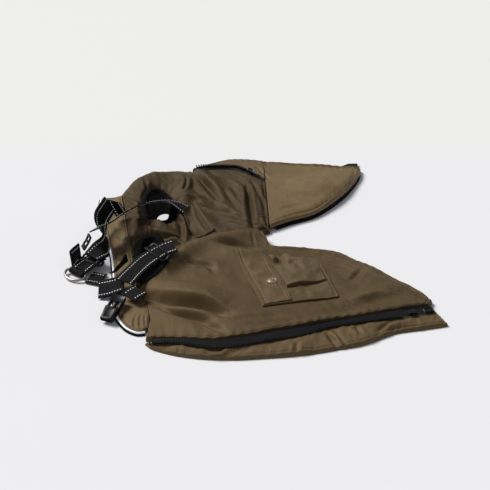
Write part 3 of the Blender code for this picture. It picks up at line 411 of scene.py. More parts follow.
# The seam between the chest panel and the near back panel, which is rolled up over the chest.
ROLL_LINE = [
    Edge(-123, -112, 8), Edge(-107, -84, 9), Edge(-96, -65, 9), Edge(-84, -45, 9),
    Edge(-72, -28, 9), Edge(-55, -13, 9), Edge(-38, -1, 9), Edge(-18, 10, 9),
    Edge(2, 18, 8), Edge(18, 22, 7), Edge(32, 28, 5),
]
CHEST_FAR = [
    Edge(-165, 113, 6), Edge(-150, 132, 6), Edge(-134, 150, 6), Edge(-117, 160, 6),
    Edge(-101, 170, 8), Edge(-86, 178, 10), Edge(-72, 182.5, 12), Edge(-46, 184, 12),
    Edge(-18, 183.5, 12), Edge(3, 171, 12), Edge(27.6, 151, 10),
]
COLLAR_EDGE = [
    Edge(-192, 116, 5), Edge(-190, 82, 5), Edge(-181, 45, 5), Edge(-170, 0, 4),
    Edge(-162, -30, 4), Edge(-155, -72, 4), Edge(-150, -115, 4), Edge(-143.5, -154, 4),
    Edge(-132, -178, 4), Edge(-119, -189, 4), Edge(-109.2, -188.5, 4),
]
COLLAR_SEAM = [
    Edge(-165, 113, 6), Edge(-159.8, 85, 8), Edge(-153.2, 50, 8), Edge(-145.4, 8, 8),
    Edge(-138.7, -28, 8), Edge(-131.2, -68, 8), Edge(-123.6, -110, 8), Edge(-116.6, -126, 9),
    Edge(-110.5, -145, 9), Edge(-107.0, -163, 8), Edge(-105.7, -182, 5),
]
NEAR_PANEL_FAR = [
    Edge(-123, -112, 9), Edge(-98, -68.5, 12), Edge(-76, -33.6, 12), Edge(-45, -5.6, 12),
    Edge(-8, 13.2, 11), Edge(16, 20, 9), Edge(26, 6, 8), Edge(33, -13, 8),
    Edge(62, -15, 8), Edge(90, -18, 8), Edge(114, -26, 8), Edge(135, -45, 8),
    Edge(155, -62, 8), Edge(182, -91, 7), Edge(203, -112, 6), Edge(214, -130, 5),
]
NEAR_PANEL_NEAR = [
    Edge(-107.5, -203, 5), Edge(-90, -204, 7), Edge(-64, -206, 8), Edge(-38, -209, 8),
    Edge(-8, -203, 8), Edge(14, -197, 8), Edge(25, -194, 8), Edge(38, -190, 8),
    Edge(66, -182, 8), Edge(92, -174, 8), Edge(116, -167, 8), Edge(136, -161, 8),
    Edge(156, -155, 7.5), Edge(180, -149, 7.5), Edge(198, -144, 7), Edge(210, -141, 6),
]
ZIP_NEAR_TEETH = [
    Edge(-104, -212, 5), Edge(-86, -211, 6), Edge(-64, -215, 7), Edge(-38, -221, 7),
    Edge(-14, -219, 7), Edge(16, -211, 7), Edge(33, -206, 7), Edge(60, -199, 7),
    Edge(93, -184, 7), Edge(127, -175, 7), Edge(160, -166, 6), Edge(186, -161, 6),
    Edge(214, -152, 5),
]
PLACKET_NEAR_EDGE = [
    Edge(-108, -209, 4), Edge(-98, -219, 4), Edge(-74, -229, 4), Edge(-44, -235, 4),
    Edge(-12, -236.5, 4), Edge(18, -234, 4), Edge(44, -231, 4), Edge(72, -226, 4),
    Edge(98, -219, 4), Edge(128, -210, 4), Edge(164, -190, 4), Edge(192, -183, 4),
    Edge(225, -175, 4),
]
FAR_PANEL_HEM = [
    Edge(32, 33, 10), Edge(57, 50, 11), Edge(89, 68, 11), Edge(114, 95, 11),
    Edge(134, 124, 11), Edge(148, 151, 10), Edge(158, 176, 9), Edge(163, 197, 6),
]
FAR_PANEL_TOP = [
    Edge(26, 219, 8), Edge(50, 216, 8), Edge(82, 212, 8), Edge(108, 210, 8),
    Edge(126, 208, 7), Edge(142, 206, 6), Edge(153, 205, 6), Edge(162, 204, 5),
]
ZIP_FAR_LINE = [
    Edge(-74, 188, 11), Edge(-60, 190.5, 13), Edge(-44, 190.5, 14), Edge(-17, 190, 14),
    Edge(-3, 182.5, 13), Edge(10, 171.5, 12), Edge(26.0, 158, 11),
]
PLACKET_FAR_TOP = [
    Edge(-73, 195, 8), Edge(-60, 203, 8), Edge(-44, 213, 8), Edge(-24, 224, 8),
    Edge(-4, 225, 8), Edge(10, 223, 8), Edge(26, 220, 8),
]
ZIP_END_NEAR = [Edge(136, 209, 4), Edge(148, 211, 4), Edge(160, 209, 4)]
ZIP_END_FAR = [Edge(138, 213, 4), Edge(148, 221, 4), Edge(161, 222, 4)]

# Ridges (+) and troughs (-) of the laid cloth. Each curve bends through its middle point. Seen from
# its start, it falls off over "left" on its left-hand side and over "right" on the other.
FOLDS = [
    # around the far leg opening, whose upper half stands up
    Fold(-158, 106, -128, 137, -82, 150, 13, 30, 24),
    Fold(-88, 146, -80, 110, -84, 62, 12, 12, 9),
    Fold(-96, 22, -84, 40, -80, 62, 9, 10, 4),
    # around the near leg opening
    Fold(-150, -30, -124, 12, -88, -6, 12, 20, 10),
    Fold(-152, 48, -120, 26, -92, 20, 12, 9, 4),
    # the sharp fold beside the far zip and the broad swells next to it
    Fold(-80, 180, -60, 148, -36, 102, 6, 4.5, -8),
    Fold(-84, 166, -68, 134, -48, 100, 8, 12, 6),
    Fold(-66, 178, -46, 148, -24, 104, 10, 9, 5.5),
    Fold(-40, 156, -28, 124, -14, 92, 14, 14, -4),
    Fold(-70, 98, -38, 84, 0, 46, 10, 12, 4),
    Fold(-46, 72, -34, 52, -26, 36, 10, 10, -4),
    # beside the belly seam
    Fold(2, 150, 8, 110, 14, 42, 5, 4, 3),
    Fold(-14, 130, 0, 96, 6, 48, 6, 5, -3),
    Fold(20, 144, 21, 100, 25, 42, 4, 4, 2.5),
    # chest, between the leg openings
    Fold(-88, 44, -72, 28, -70, 6, 5, 5, -3),
    Fold(-146, 40, -140, 10, -132, -14, 5, 6, -3),
    # the near back panel: its rolled edge, the deep folds and the swell between them
    Fold(-112, -92, -66, -34, 12, 10, 12, 15, 12),
    Fold(-100, -104, -56, -66, 4, -24, 26, 26, 4),
    Fold(-90, -116, -62, -119, -26, -124, 12, 12, 6),
    Fold(-126, -121, -80, -145, -20, -163, 8, 5, -8),
    Fold(-104, -146, -60, -168, -24, -188, 6, 5, -5),
    Fold(-96, -152, -66, -157, -34, -167, 7, 6, 3.5),
    Fold(-96, -164, -66, -186, -46, -202, 10, 9, 3),
    Fold(-40, -166, 0, -167, 44, -162, 4, 4, -1.6),
    Fold(-50, -14, -14, -22, 24, -22, 5, 7, -4.5),
    Fold(-30, -42, 0, -46, 30, -36, 12, 14, 3.5),
    Fold(60, -160, 110, -150, 170, -118, 7, 7, -2),
    Fold(130, -60, 150, -92, 180, -120, 14, 14, 2.5),
    # hems and plackets
    Fold(52, -21, 100, -26, 146, -60, 4, 4, -1.8),
    Fold(146, -60, 180, -97, 208, -130, 4, 4, -1.8),
    Fold(42, 47, 92, 76, 130, 126, 4, 4, -2),
    Fold(130, 126, 148, 158, 156, 196, 4, 4, -2),
    Fold(50, 206, 92, 202, 140, 199, 5, 5, -2),
    Fold(60, 150, 92, 130, 120, 140, 30, 30, 4),
    Fold(-40, -226, -20, -229, 4, -225, 3.5, 3.5, -2),
    Fold(92, -198, 96, -206, 106, -212, 4, 4, -2),
    Fold(120, -188, 124, -196, 134, -202, 5, 5, 1.5),
]

LEG_HOLES = {
    "far": Hole(-113, 74, 24.5, 42, 10),
    "near": Hole(-114, -36, 21, 37, 4),
}

# Pocket corners and the places on it, in plan: far left, far right, near right, near left.
POCKET = ((-13, -44), (88, -46), (107, -131), (20, -152))
SEAM_TOP = (24, -47)
SEAM_LOW = (53, -142)
FLAP = ((48, -117), (97, -97), (86.5, -48.5), (27, -49))
SNAP_PLACE = (31, -106)
# The flap of the chest panel that the leash strap runs under: near left, near right, far right, far left.
STRAP_FLAP = ((-60, -4), (-38, 16), (-66, 84), (-80, 54))

# ---- harness webbing: points along the middle, with the direction across the strap ----
LEASH_STRAP = [
    Web(-77, 60, 17.5, 0.41, 0.91, 0.0), Web(-88, 64, 22.4, 0.20, 0.94, -0.20),
    Web(-101, 66, 26.4, 0.04, 0.91, -0.40), Web(-112.5, 61, 28.8, 0.0, 0.89, -0.45),
    Web(-125.7, 52.6, 30.5, 0.0, 0.89, -0.45), Web(-137.4, 40.9, 32.4, 0.0, 0.89, -0.45),
    Web(-151.4, 18.3, 35, 0.0, 0.90, -0.43), Web(-164.4, -5.6, 37, 0.0, 0.91, -0.41),
    Web(-176, -18, 36.8, 0.0, 0.92, -0.39), Web(-184, -25.5, 35.6, 0.0, 0.92, -0.39),
]
# The neck loop's first stretch rises to a slanting fold: near left, near right, far right, far left.
NECK_RISE = (Edge(-165.0, 43.5, 14), Edge(-151.5, 57, 14), Edge(-160.5, 52, 32), Edge(-174.5, 47.5, 39))
NECK_LOOP = [
    Web(-173, 52.2, 29.5, 0.54, 0.20, -0.80), Web(-176, 40, 28.5, 0.54, 0.10, -0.82),
    Web(-181, 25, 24.5, 0.56, 0.05, -0.80), Web(-180, 9, 18.6, 0.50, 0.08, -0.86),
    Web(-174.5, -4, 16.8, 0.44, 0.10, -0.89), Web(-170.5, -16, 17.4, 0.30, 0.10, -0.95),
    Web(-169.8, -27, 17.6, 0.32, 0.05, -0.94), Web(-171, -36.5, 18.4, 0.50, -0.10, -0.86),
    Web(-176, -45, 18.2, 0.72, -0.50, -0.40), Web(-184, -53.5, 15.8, 0.80, -0.60, 0.0),
]
RING_STRAP_TOP = [
    Web(-196.2, -68.6, 7.4, 0.80, -0.60, 0.0), Web(-190, -60, 8.8, 0.80, -0.60, 0.0),
    Web(-182.5, -50, 9.6, 0.80, -0.60, 0.0), Web(-176, -42, 9.8, 0.80, -0.60, 0.0),
]
RING_STRAP_FAR = [
    Web(-200, -37.5, 14.0, 0.02, -0.02, 1.0), Web(-203.5, -43.5, 13.3, 0.02, 0.06, 1.0),
    Web(-206, -50.5, 13.2, -0.06, 0.10, 1.0), Web(-208, -56.5, 13.2, -0.06, 0.08, 1.0),
]
RING_STRAP_NEAR = [
    Web(-184.5, -77, 1.7, 0.10, 0.99, 0.0), Web(-176, -80, 1.9, 0.10, 0.99, 0.0),
    Web(-168, -83, 2.2, 0.16, 0.99, 0.0),
]
SHOULDER_BAND = [
    Web(-169, -111, 6.6, -0.20, 0.90, 0.38), Web(-158, -112, 9.6, -0.10, 0.90, 0.42),
    Web(-148, -113, 13.6, -0.05, 0.94, 0.34), Web(-139, -113, 16.4, -0.02, 0.96, 0.27),
]
RISER_STRAP = [
    Web(-156, -88, 15.0, 0.80, 0.45, 0.40), Web(-148, -79, 18.0, 0.60, 0.45, 0.66),
    Web(-140, -67, 23, 0.30, 0.40, 0.87),
]
GIRTH_STRAP = [
    Web(-138, -117, 21.5, 0.53, -0.84, -0.10), Web(-131, -102, 22.5, 0.58, -0.81, -0.09),
    Web(-118, -82, 26, 0.62, -0.78, -0.10), Web(-104, -67, 29, 0.60, -0.79, -0.12),
    Web(-94, -60, 31, 0.52, -0.85, -0.12), Web(-84, -56, 33, 0.48, -0.87, -0.12),
]
# The girth strap's lower layer lies on the cloth: near left, near right, far right, far left.
GIRTH_UNDER = ((-116, -111), (-89, -77), (-101, -63), (-127, -99))
BUCKLE_STRAP = [
    Web(-119, -127, 17.0, 0.50, -0.83, -0.05), Web(-126, -134, 16.5, 0.54, -0.83, -0.05),
    Web(-131.5, -140, 15.0, 0.56, -0.83, -0.05),
]
# The fastened side-release buckle lies from the collar's edge down to the table.
BUCKLE_HEAD = Edge(-141, -138, 15.5)
BUCKLE_TIP = Edge(-154, -171, 5.2)
BUCKLE_SIZE = (17.0, 8.0)       # width and height
# The plastic adjuster that hangs where the leash strap turns down.
ADJUSTER_TOP = Edge(-187.5, -28.5, 31)
ADJUSTER_LOW = Edge(-197, -32.5, 14)
ADJUSTER_SIZE = (11.0, 4.0)
# The D-ring's straight bar, and how far its bow reaches.
D_BAR = (Edge(-210.5, -62.5, 4.6), Edge(-187.5, -79.5, 4.6))
D_REACH = 14.0
D_DROP = 2.4                    # the bow's low point rests nearer the table than the bar

# %% [markdown]
# ## Shapes shared by all pieces
# A smooth curve runs through the rows of a table. A fold is a soft bump or dip along a bent line, and the cloth's
# height at any point is the sum of all folds that reach it.

# %% Curves
WALL = 12.0
WEB_WIDTH, WEB_THICK = 25.0, 1.8
LOWEST_TOP = 2.2
UP = np.array([0.0, 0.0, 1.0])
ORIGIN = np.array([LAYOUT_CENTRE[0], LAYOUT_CENTRE[1], 0.0])


def curve(rows, at):
    """Points at row numbers on the smooth curve through the rows."""
    points = np.array([tuple(row) for row in rows], float)
    knots = np.concatenate([2 * points[:1] - points[1:2], points, 2 * points[-1:] - points[-2:-1]])
    at = np.asarray(at, float)
    i = np.clip(at.astype(int), 0, len(points) - 2)
    t = (at - i)[:, None]
    a, b, c, d = knots[i], knots[i + 1], knots[i + 2], knots[i + 3]
    return 0.5 * (2 * b + (c - a) * t + (2 * a - 5 * b + 4 * c - d) * t**2 + (3 * b - a - 3 * c + d) * t**3)


def along_rows(rows, count):
    return curve(rows, np.linspace(0, len(rows) - 1, count + 1))


def unit(vectors):
    return vectors / np.linalg.norm(vectors, axis=-1, keepdims=True)


def beside(line, out):
    """The line moved to its right, seen from above."""
    along = unit(np.gradient(line[:, :2], axis=0))
    moved = line.copy()
    moved[:, :2] += out * np.stack([along[:, 1], -along[:, 0]], axis=1)
    return moved


def shifted(rows, out):
    return [Edge(*point) for point in beside(along_rows(rows, len(rows) - 1), out)]


def lengths(line):
    """The distance covered along a line at each of its points."""
    return np.concatenate([[0], np.cumsum(np.linalg.norm(np.diff(line, axis=0), axis=1))])


# %% Noise that is the same in every run
LATTICE = 61
lattice_values = np.random.RandomState(11).uniform(-1, 1, (8, LATTICE, LATTICE))


def smooth_noise(x, y, layer):
    """Soft random values between -1 and 1, one hill or so for each whole number."""
    x, y = np.broadcast_arrays(np.asarray(x, float), np.asarray(y, float))
    i, j = np.floor(x).astype(int), np.floor(y).astype(int)
    u, v = x - i, y - j
    u, v = u**3 * (6 * u * u - 15 * u + 10), v**3 * (6 * v * v - 15 * v + 10)
    table = lattice_values[layer % 8]
    corner = lambda a, b: table[(i + a) % LATTICE, (j + b) % LATTICE]
    low = corner(0, 0) * (1 - u) + corner(1, 0) * u
    high = corner(0, 1) * (1 - u) + corner(1, 1) * u
    return low * (1 - v) + high * v


# %% Folds
def line_distance(x, y, line):
    """Distance from each point to a line in plan, how far along it, and whether it is on the left."""
    best = np.full(x.shape, np.inf)
    where = np.zeros(x.shape)
    on_left = np.zeros(x.shape, bool)
    steps = len(line) - 1
    for k in range(steps):
        start, step = line[k, :2], line[k + 1, :2] - line[k, :2]
        dx, dy = x - start[0], y - start[1]
        t = np.clip((dx * step[0] + dy * step[1]) / max(step @ step, 1e-9), 0, 1)
        away = np.hypot(dx - t * step[0], dy - t * step[1])
        nearer = away < best
        best = np.where(nearer, away, best)
        where = np.where(nearer, (k + t) / steps, where)
        on_left = np.where(nearer, step[0] * dy - step[1] * dx > 0, on_left)
    return best, where, on_left


def fold_height(x, y):
    """The sum of the main folds at each plan point, as in the part's source."""
    x, y = np.asarray(x, float), np.asarray(y, float)
    total = np.zeros(x.shape)
    for fold in FOLDS:
        ends = [Edge(fold.x0, fold.y0, 0), Edge(fold.bend_x, fold.bend_y, 0), Edge(fold.x1, fold.y1, 0)]
        away, where, on_left = line_distance(x, y, along_rows(ends, 10))
        taper = np.sqrt(np.clip(np.sin(np.pi * (0.04 + 0.92 * where)), 0, 1))
        total += fold.height * taper * np.exp(-((away / np.where(on_left, fold.left, fold.right)) ** 2))
    return total


# %% [markdown]
# Light cloth also creases: thin, sharper lines that run out at both ends. Each was placed where the photograph
# shows one. A crease is sharp at its bottom and has a small shoulder on both sides, because the cloth that is
# pushed out of the line has to go somewhere.

# %% Creases
Crease = namedtuple("Crease", "places left right height")
CREASES = [
    # the near back panel
    Crease(((-120, -119), (-106, -128), (-90, -137), (-70, -143), (-48, -149), (-32, -157), (-24, -167)), 5, 3.5, -1.8),
    Crease(((-100, -147), (-80, -160), (-61, -168), (-37, -174)), 4, 4, -1.8),
    Crease(((-47, -176), (-33, -186), (-21, -197)), 3, 4, -1.8),
    Crease(((-33, -170), (8, -169), (49, -166)), 2.5, 3.5, -1.0),
    Crease(((-72, -62), (-56, -67), (-42, -70), (-37, -80)), 3.5, 3, -2.2),
    Crease(((-57, -17), (-37, -23), (-12, -23), (10, -26), (27, -24)), 4, 4, -1.9),
    Crease(((8, 8), (10, -8), (12, -21)), 1.5, 1.5, -0.9),
    Crease(((124, -95), (132, -83), (139, -72)), 3, 4, -1.6),
    Crease(((118, -137), (143, -127), (170, -119)), 8, 5, 1.8),
    Crease(((-100, -86), (-80, -92), (-58, -95)), 9, 9, -0.9),
    Crease(((-30, -60), (-8, -82), (-4, -104)), 10, 9, -0.9),
    Crease(((60, -168), (110, -156), (150, -142)), 4, 6, -0.9),
    Crease(((-6, -186), (30, -178), (62, -172)), 3, 4, -0.7),
    # the chest, right of the far leg opening and down to the belly seam
    Crease(((-76, 172), (-57, 130), (-36, 88)), 2.5, 3, -1.8),
    Crease(((-58, 106), (-37, 81), (-14, 57)), 3, 5, -2.0),
    Crease(((-90, 139), (-82, 129), (-75, 120)), 4, 4, 2.2),
    Crease(((-87, 104), (-82, 116), (-79, 130)), 3, 4, 1.6),
    Crease(((-60, 150), (-44, 132), (-34, 112)), 3, 3, -1.6),
    Crease(((3, 140), (6, 97), (11, 30)), 3, 4, -2.4),
    Crease(((10, 147), (23, 98), (25, 52)), 2, 3, -2.0),
    Crease(((-30, 128), (-18, 100), (-10, 72)), 3, 5, -2.0),
    Crease(((-14, 150), (-4, 120), (-2, 96)), 3, 4, 1.7),
    Crease(((-36, 60), (-10, 44), (14, 34)), 3, 4, -1.7),
    Crease(((-30, 40), (-8, 34), (16, 28)), 2.5, 2.5, 0.8),
    # between the leg openings
    Crease(((-87, 54), (-76, 36), (-73, 12), (-73, -10)), 3, 3, 2.2),
    Crease(((-82, 40), (-70, 24), (-66, 4)), 3, 3, -1.6),
    Crease(((-118, 4), (-99, -2), (-77, 0)), 3, 5, -2.6),
    Crease(((-104, -7), (-89, -13), (-77, -22)), 2.5, 3.5, -2.8),
    Crease(((-124, 30), (-104, 22), (-88, 10)), 4, 5, 1.4),
    Crease(((-148, 30), (-140, 12), (-134, -6)), 4, 4, -1.4),
    Crease(((-138, 24), (-124, 22), (-112, 12)), 3, 3, -1.6),
    # the far back panel and its placket
    Crease(((36, 157), (59, 149), (82, 140)), 5, 4, 1.2),
    Crease(((70, 113), (89, 106), (110, 102)), 3, 4, -1.2),
    Crease(((44, 70), (58, 78), (76, 84)), 3, 4, -0.8),
    Crease(((60, 96), (76, 92), (92, 84)), 5, 4, 1.0),
    Crease(((34, 180), (70, 178), (112, 172)), 6, 6, -0.9),
    Crease(((14, 200), (24, 180), (34, 158)), 2, 3, -1.4),
    Crease(((-60, 196), (-30, 206), (8, 210)), 4, 4, -0.8),
    # the near placket
    Crease(((-13, -224), (-24, -231), (-34, -236)), 3, 4, 1.6),
    Crease(((55, -214), (55.5, -220), (55, -229)), 2, 2.5, -1.0),
    Crease(((92, -193), (99, -205), (106, -218)), 2, 3, 1.8),
    Crease(((90, -198), (95, -207), (99, -218)), 2, 2.5, -1.4),
    Crease(((122, -184), (124, -191), (127, -198)), 2, 3, -1.9),
    Crease(((150, -196), (156, -187), (161, -182), (172, -177), (184, -175)), 3, 3, 1.6),
    Crease(((146, -190), (152, -182), (160, -177)), 2, 2, -1.2),
    Crease(((-72, -219), (-70, -225), (-71, -231)), 2, 2.5, -0.8),
    Crease(((-96, -212), (-80, -222), (-62, -229)), 5, 4, -0.9),
    # the collar's rounded near end
    Crease(((-121, -160), (-122, -174), (-120, -188)), 1.6, 1.6, -0.8),
    Crease(((-115, -160), (-116, -172), (-114, -186)), 1.5, 1.8, -0.9),
    Crease(((-111, -158), (-111, -170), (-109, -182)), 1.2, 1.5, -0.6),
    Crease(((-172, 44), (-160, 30), (-150, 26)), 3, 4, -0.9),
    Crease(((-168, 8), (-156, 0), (-146, -2)), 3, 3, 0.9),
    Crease(((-160, -38), (-150, -46), (-138, -46)), 3, 3, -0.9),
]

SOFT_FOLDS = [
    # the near back panel
    Crease(((-98, -125), (-68, -134), (-42, -140), (-22, -152)), 15, 4.2, 8.0),
    Crease(((-112, -128), (-88, -141), (-64, -147), (-42, -153), (-22, -166)), 4, 4, -3.5),
    Crease(((-120, -106), (-100, -112), (-84, -120)), 9, 8, 2.0),
    Crease(((-98, -148), (-80, -160), (-60, -168), (-36, -174)), 4, 4, -2.6),
    Crease(((-46, -176), (-33, -186), (-21, -196)), 3.5, 4, -2.2),
    Crease(((-50, -14), (-14, -22), (24, -22)), 5, 7, 2.2),
    Crease(((-60, -30), (-30, -36), (0, -38), (24, -38)), 8, 10, 2.5),
    Crease(((-75, -65), (-56, -68), (-42, -72), (-36, -84)), 6, 4, -2.6),
    Crease(((118, -137), (169, -120)), 9, 9, 2.5),
    Crease(((-94, -90), (-80, -66), (-66, -48)), 8, 7, 4.0),
    # between and beside the leg openings
    Crease(((-146, 36), (-128, 40), (-112, 28), (-100, 14)), 7, 6, 6.0),
    Crease(((-118, 3), (-98, -1), (-79, 1)), 3, 4, -6.0),
    Crease(((-102, -7), (-86, -13), (-74, -24)), 3, 4, -5.0),
    Crease(((-100, -4), (-80, -7)), 3, 3, 3.0),
    Crease(((-88, 56), (-77, 33), (-74, 11), (-73, -12)), 2.5, 2.5, 3.2),
    Crease(((-92, 52), (-82, 26), (-79, 4)), 4, 4, -4.0),
    Crease(((-158, 12), (-149, -28), (-148, -52)), 3, 3, -2.2),
    # the chest, right of the far leg opening
    Crease(((-79, 196), (-59, 152), (-45, 127), (-33, 92)), 3, 3.5, -6.5),
    Crease(((-72, 184), (-53, 144), (-39, 125), (-29, 100)), 4, 5, 3.0),
    Crease(((-89, 138), (-79, 128), (-80, 114), (-87, 105)), 3, 3, -4.6),
    Crease(((-83, 140), (-74, 126), (-76, 110)), 3, 4, 4.2),
    Crease(((-56, 80), (-38, 72), (-15, 59)), 4, 2.5, -5.5),
    Crease(((-54, 72), (-35, 64), (-14, 50)), 4, 5, 2.0),
    Crease(((-93, 93), (-72, 92), (-52, 96)), 4, 4, 4.5),
    Crease(((3, 140), (6, 97), (11, 29)), 4, 4, -4.2),
    Crease(((-3, 140), (0, 100), (4, 32)), 4, 4, 3.2),
    # the far back panel
    Crease(((60, 150), (92, 128), (120, 136)), 12, 12, 2.5),
    Crease(((40, 190), (80, 182), (120, 180)), 9, 9, -1.5),
]
CREASE_DEPTH = 2.4


def soft_height(x, y):
    """The sum of the softer folds at each plan point."""
    total = np.zeros(x.shape)
    for fold in SOFT_FOLDS:
        rows = [Edge(px, py, 0) for px, py in fold.places]
        away, where, on_left = line_distance(x, y, along_rows(rows, 4 * (len(rows) - 1)))
        taper = np.clip(np.sin(np.pi * (0.03 + 0.94 * where)), 0, 1) ** 0.6
        total += fold.height * taper * np.exp(-((away / np.where(on_left, fold.left, fold.right)) ** 2))
    return total


def crease_height(x, y):
    """The sum of the thin creases at each plan point."""
    x, y = np.asarray(x, float), np.asarray(y, float)
    total = soft_height(x, y)
    for crease in CREASES:
        rows = [Edge(px, py, 0) for px, py in crease.places]
        away, where, on_left = line_distance(x, y, along_rows(rows, 4 * (len(rows) - 1)))
        width = np.where(on_left, crease.left, crease.right)
        taper = np.clip(np.sin(np.pi * (0.02 + 0.96 * where)), 0, 1) ** 0.7
        sharp = np.exp(-1.3 * away / width)
        shoulder = 0.28 * np.exp(-(((away - 2.1 * width) / width) ** 2))
        total += CREASE_DEPTH * crease.height * taper * (sharp * (1 - 0.3 * np.exp(-((3 * away / width) ** 2))) - shoulder)
    return total


def drape(x, y, layer, turn_deg, long=46.0, short=15.0, amount=0.45):
    """Soft, uneven ripples that lie mostly in one direction."""
    turn = math.radians(turn_deg)
    u = x * math.cos(turn) + y * math.sin(turn)
    v = -x * math.sin(turn) + y * math.cos(turn)
    wander = smooth_noise(u / 60 + 3, v / 60 + 9, layer + 1)
    first = smooth_noise(u / long + 7, v / short + 1.4 * wander + 5, layer)
    second = smooth_noise(u / (0.45 * long) + 17, v / (0.45 * short) + 1.2 * wander, layer + 2)
    ridged = 1 - 2 * np.abs(second)
    return amount * (first + 0.32 * ridged)

# %% [markdown]
# ## One builder for all cloth
# A cloth piece is a closed body: its outside is a fine grid, its inside is the same grid moved down by the
# padding, or down to the table where the jacket lies low. Rows are closer together near the edges, where seams
# and hems need them. The UV map is the distance along and across the cloth, in metres.

# %% Closed cloth from two grids
garment_pieces = []


def new_object(name, points_mm, faces, finish, uv=None, smooth=True):
    """An object at the origin, made from points in the pattern's millimetres."""
    mesh = bpy.data.meshes.new(name)
    mesh.from_pydata(((np.asarray(points_mm, float) - ORIGIN) * MM).tolist(), [], faces)
    if uv is not None:
        layer = mesh.uv_layers.new(name="cloth")
        corner = np.empty(len(mesh.loops), np.int32)
        mesh.loops.foreach_get("vertex_index", corner)
        layer.data.foreach_set("uv", np.asarray(uv, float)[corner].ravel())
    if smooth:
        mesh.shade_smooth()
    mesh.materials.append(finish)
    made = bpy.data.objects.new(name, mesh)
    bpy.context.scene.collection.objects.link(made)
    return made


def enlist(piece, nodes=(), body="garment"):
    """The piece moves with a body and stands for these solids."""
    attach(piece, body)
    if nodes:
        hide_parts(*nodes)
    garment_pieces.append(piece)
    print(piece.name, len(piece.data.vertices), "vertices")
    return piece


def closed_sheet(name, top, bottom, finish, keep=None):
    """A closed body between two grids. Cells where keep is false are left open."""
    rows, columns = top.shape[0] - 1, top.shape[1] - 1
    keep = np.ones((rows, columns), bool) if keep is None else keep
    count = top.shape[0] * top.shape[1]
    index = np.arange(count).reshape(top.shape[:2])
    ring = np.stack([index[:-1, :-1], index[1:, :-1], index[1:, 1:], index[:-1, 1:]], axis=2)[keep]
    edges = np.concatenate([np.stack([ring[:, k], ring[:, (k + 1) % 4]], axis=1) for k in range(4)])
    forward = edges[:, 0] * count + edges[:, 1]
    backward = edges[:, 1] * count + edges[:, 0]
    rim = edges[~np.isin(forward, backward)]
    a, b = rim[:, 0], rim[:, 1]
    walls = np.stack([b, a, a + count, b + count], axis=1)
    faces = np.concatenate([ring, ring[:, ::-1] + count, walls])
    points = np.concatenate([top.reshape(-1, 3), bottom.reshape(-1, 3)])
    along = np.linalg.norm(np.diff(top, axis=0), axis=2).mean(axis=1)
    across = np.linalg.norm(np.diff(top, axis=1), axis=2).mean(axis=0)
    u = np.concatenate([[0], np.cumsum(along)])[:, None] + np.zeros(top.shape[:2])
    v = np.concatenate([[0], np.cumsum(across)])[None, :] + np.zeros(top.shape[:2])
    flat = np.stack([u, v], axis=2).reshape(-1, 2) * MM
    uv = np.concatenate([flat, flat])
    used = np.unique(faces)
    renumber = np.full(len(points), -1)
    renumber[used] = np.arange(len(used))
    made = new_object(name, points[used], renumber[faces].tolist(), finish, uv[used])
    check_outward(made)
    return made


def check_outward(made):
    """Turns a mesh whose faces point inwards."""
    shape = bmesh.new()
    shape.from_mesh(made.data)
    if shape.calc_volume(signed=True) < 0:
        bmesh.ops.reverse_faces(shape, faces=shape.faces)
        shape.to_mesh(made.data)
    shape.free()


# %% Edges, seams and hems
EdgeLook = namedtuple("EdgeLook", "roll dip stitch pucker pitch")
PLAIN = EdgeLook(0, 0, 0, 0, 10)
stitch_lines = []


def spaced(count, closer=0.6):
    """Shares from 0 to 1 that are closer together at both ends."""
    u = np.linspace(0, 1, count + 1)
    return u - closer * np.sin(2 * np.pi * u) / (2 * np.pi)


def pucker_wave(along, pitch, layer):
    """Uneven small gathers along a seam, between -1 and 1."""
    shift = 0.9 * smooth_noise(along / (2.3 * pitch) + 4, layer + 0.5, layer)
    strength = 0.55 + 0.45 * smooth_noise(along / (3.1 * pitch) + 13, layer + 7.5, layer + 3)
    return np.sin(2 * np.pi * (along / pitch + shift)) * strength


def edge_relief(away, along, look, layer):
    """What a hem or seam adds to the height at a distance from it."""
    added = -look.dip * np.exp(-((away / 1.3) ** 2))
    reach = 1.4 * look.stitch + 5.0
    fade = np.exp(-((away / reach) ** 2)) * np.clip(0.35 + away / 3.0, 0, 1)
    added += look.pucker * pucker_wave(along + 0.25 * away, look.pitch, layer) * fade
    if look.stitch:
        added -= 0.95 * np.exp(-(((away - look.stitch) / 1.0) ** 2))
        inside = (away > 0) & (away < look.stitch)
        added += np.where(inside, 0.55 * np.sin(np.pi * np.clip(away / look.stitch, 0, 1)), 0)
    return added


def panel_grid(near, far, count, crown, looks, layer, turn, ripple=0.45, bulge=0.0):
    """A panel's outside, its inside height before the edges roll down, and the shares of its rows."""
    t, s = spaced(count[0], 0.35), spaced(count[1])
    near_line, far_line = curve(near, t * (len(near) - 1)), curve(far, t * (len(far) - 1))
    share = s[None, :, None]
    grid = near_line[:, None, :] * (1 - share) + far_line[:, None, :] * share
    swell = np.sin(np.pi * t)[:, None] ** 0.5 * np.sin(np.pi * s)[None, :] ** 0.8
    grid[:, :, 2] += crown * swell
    if bulge:
        fade = np.exp(-((t[:, None] / 0.12) ** 2))
        grid[:, :, 0] += bulge * np.sin(np.pi * s)[None, :] ** 0.8 * fade
    x, y = grid[:, :, 0], grid[:, :, 1]
    grid[:, :, 2] = np.maximum(grid[:, :, 2] + fold_height(x, y), LOWEST_TOP)
    return grid, t, s


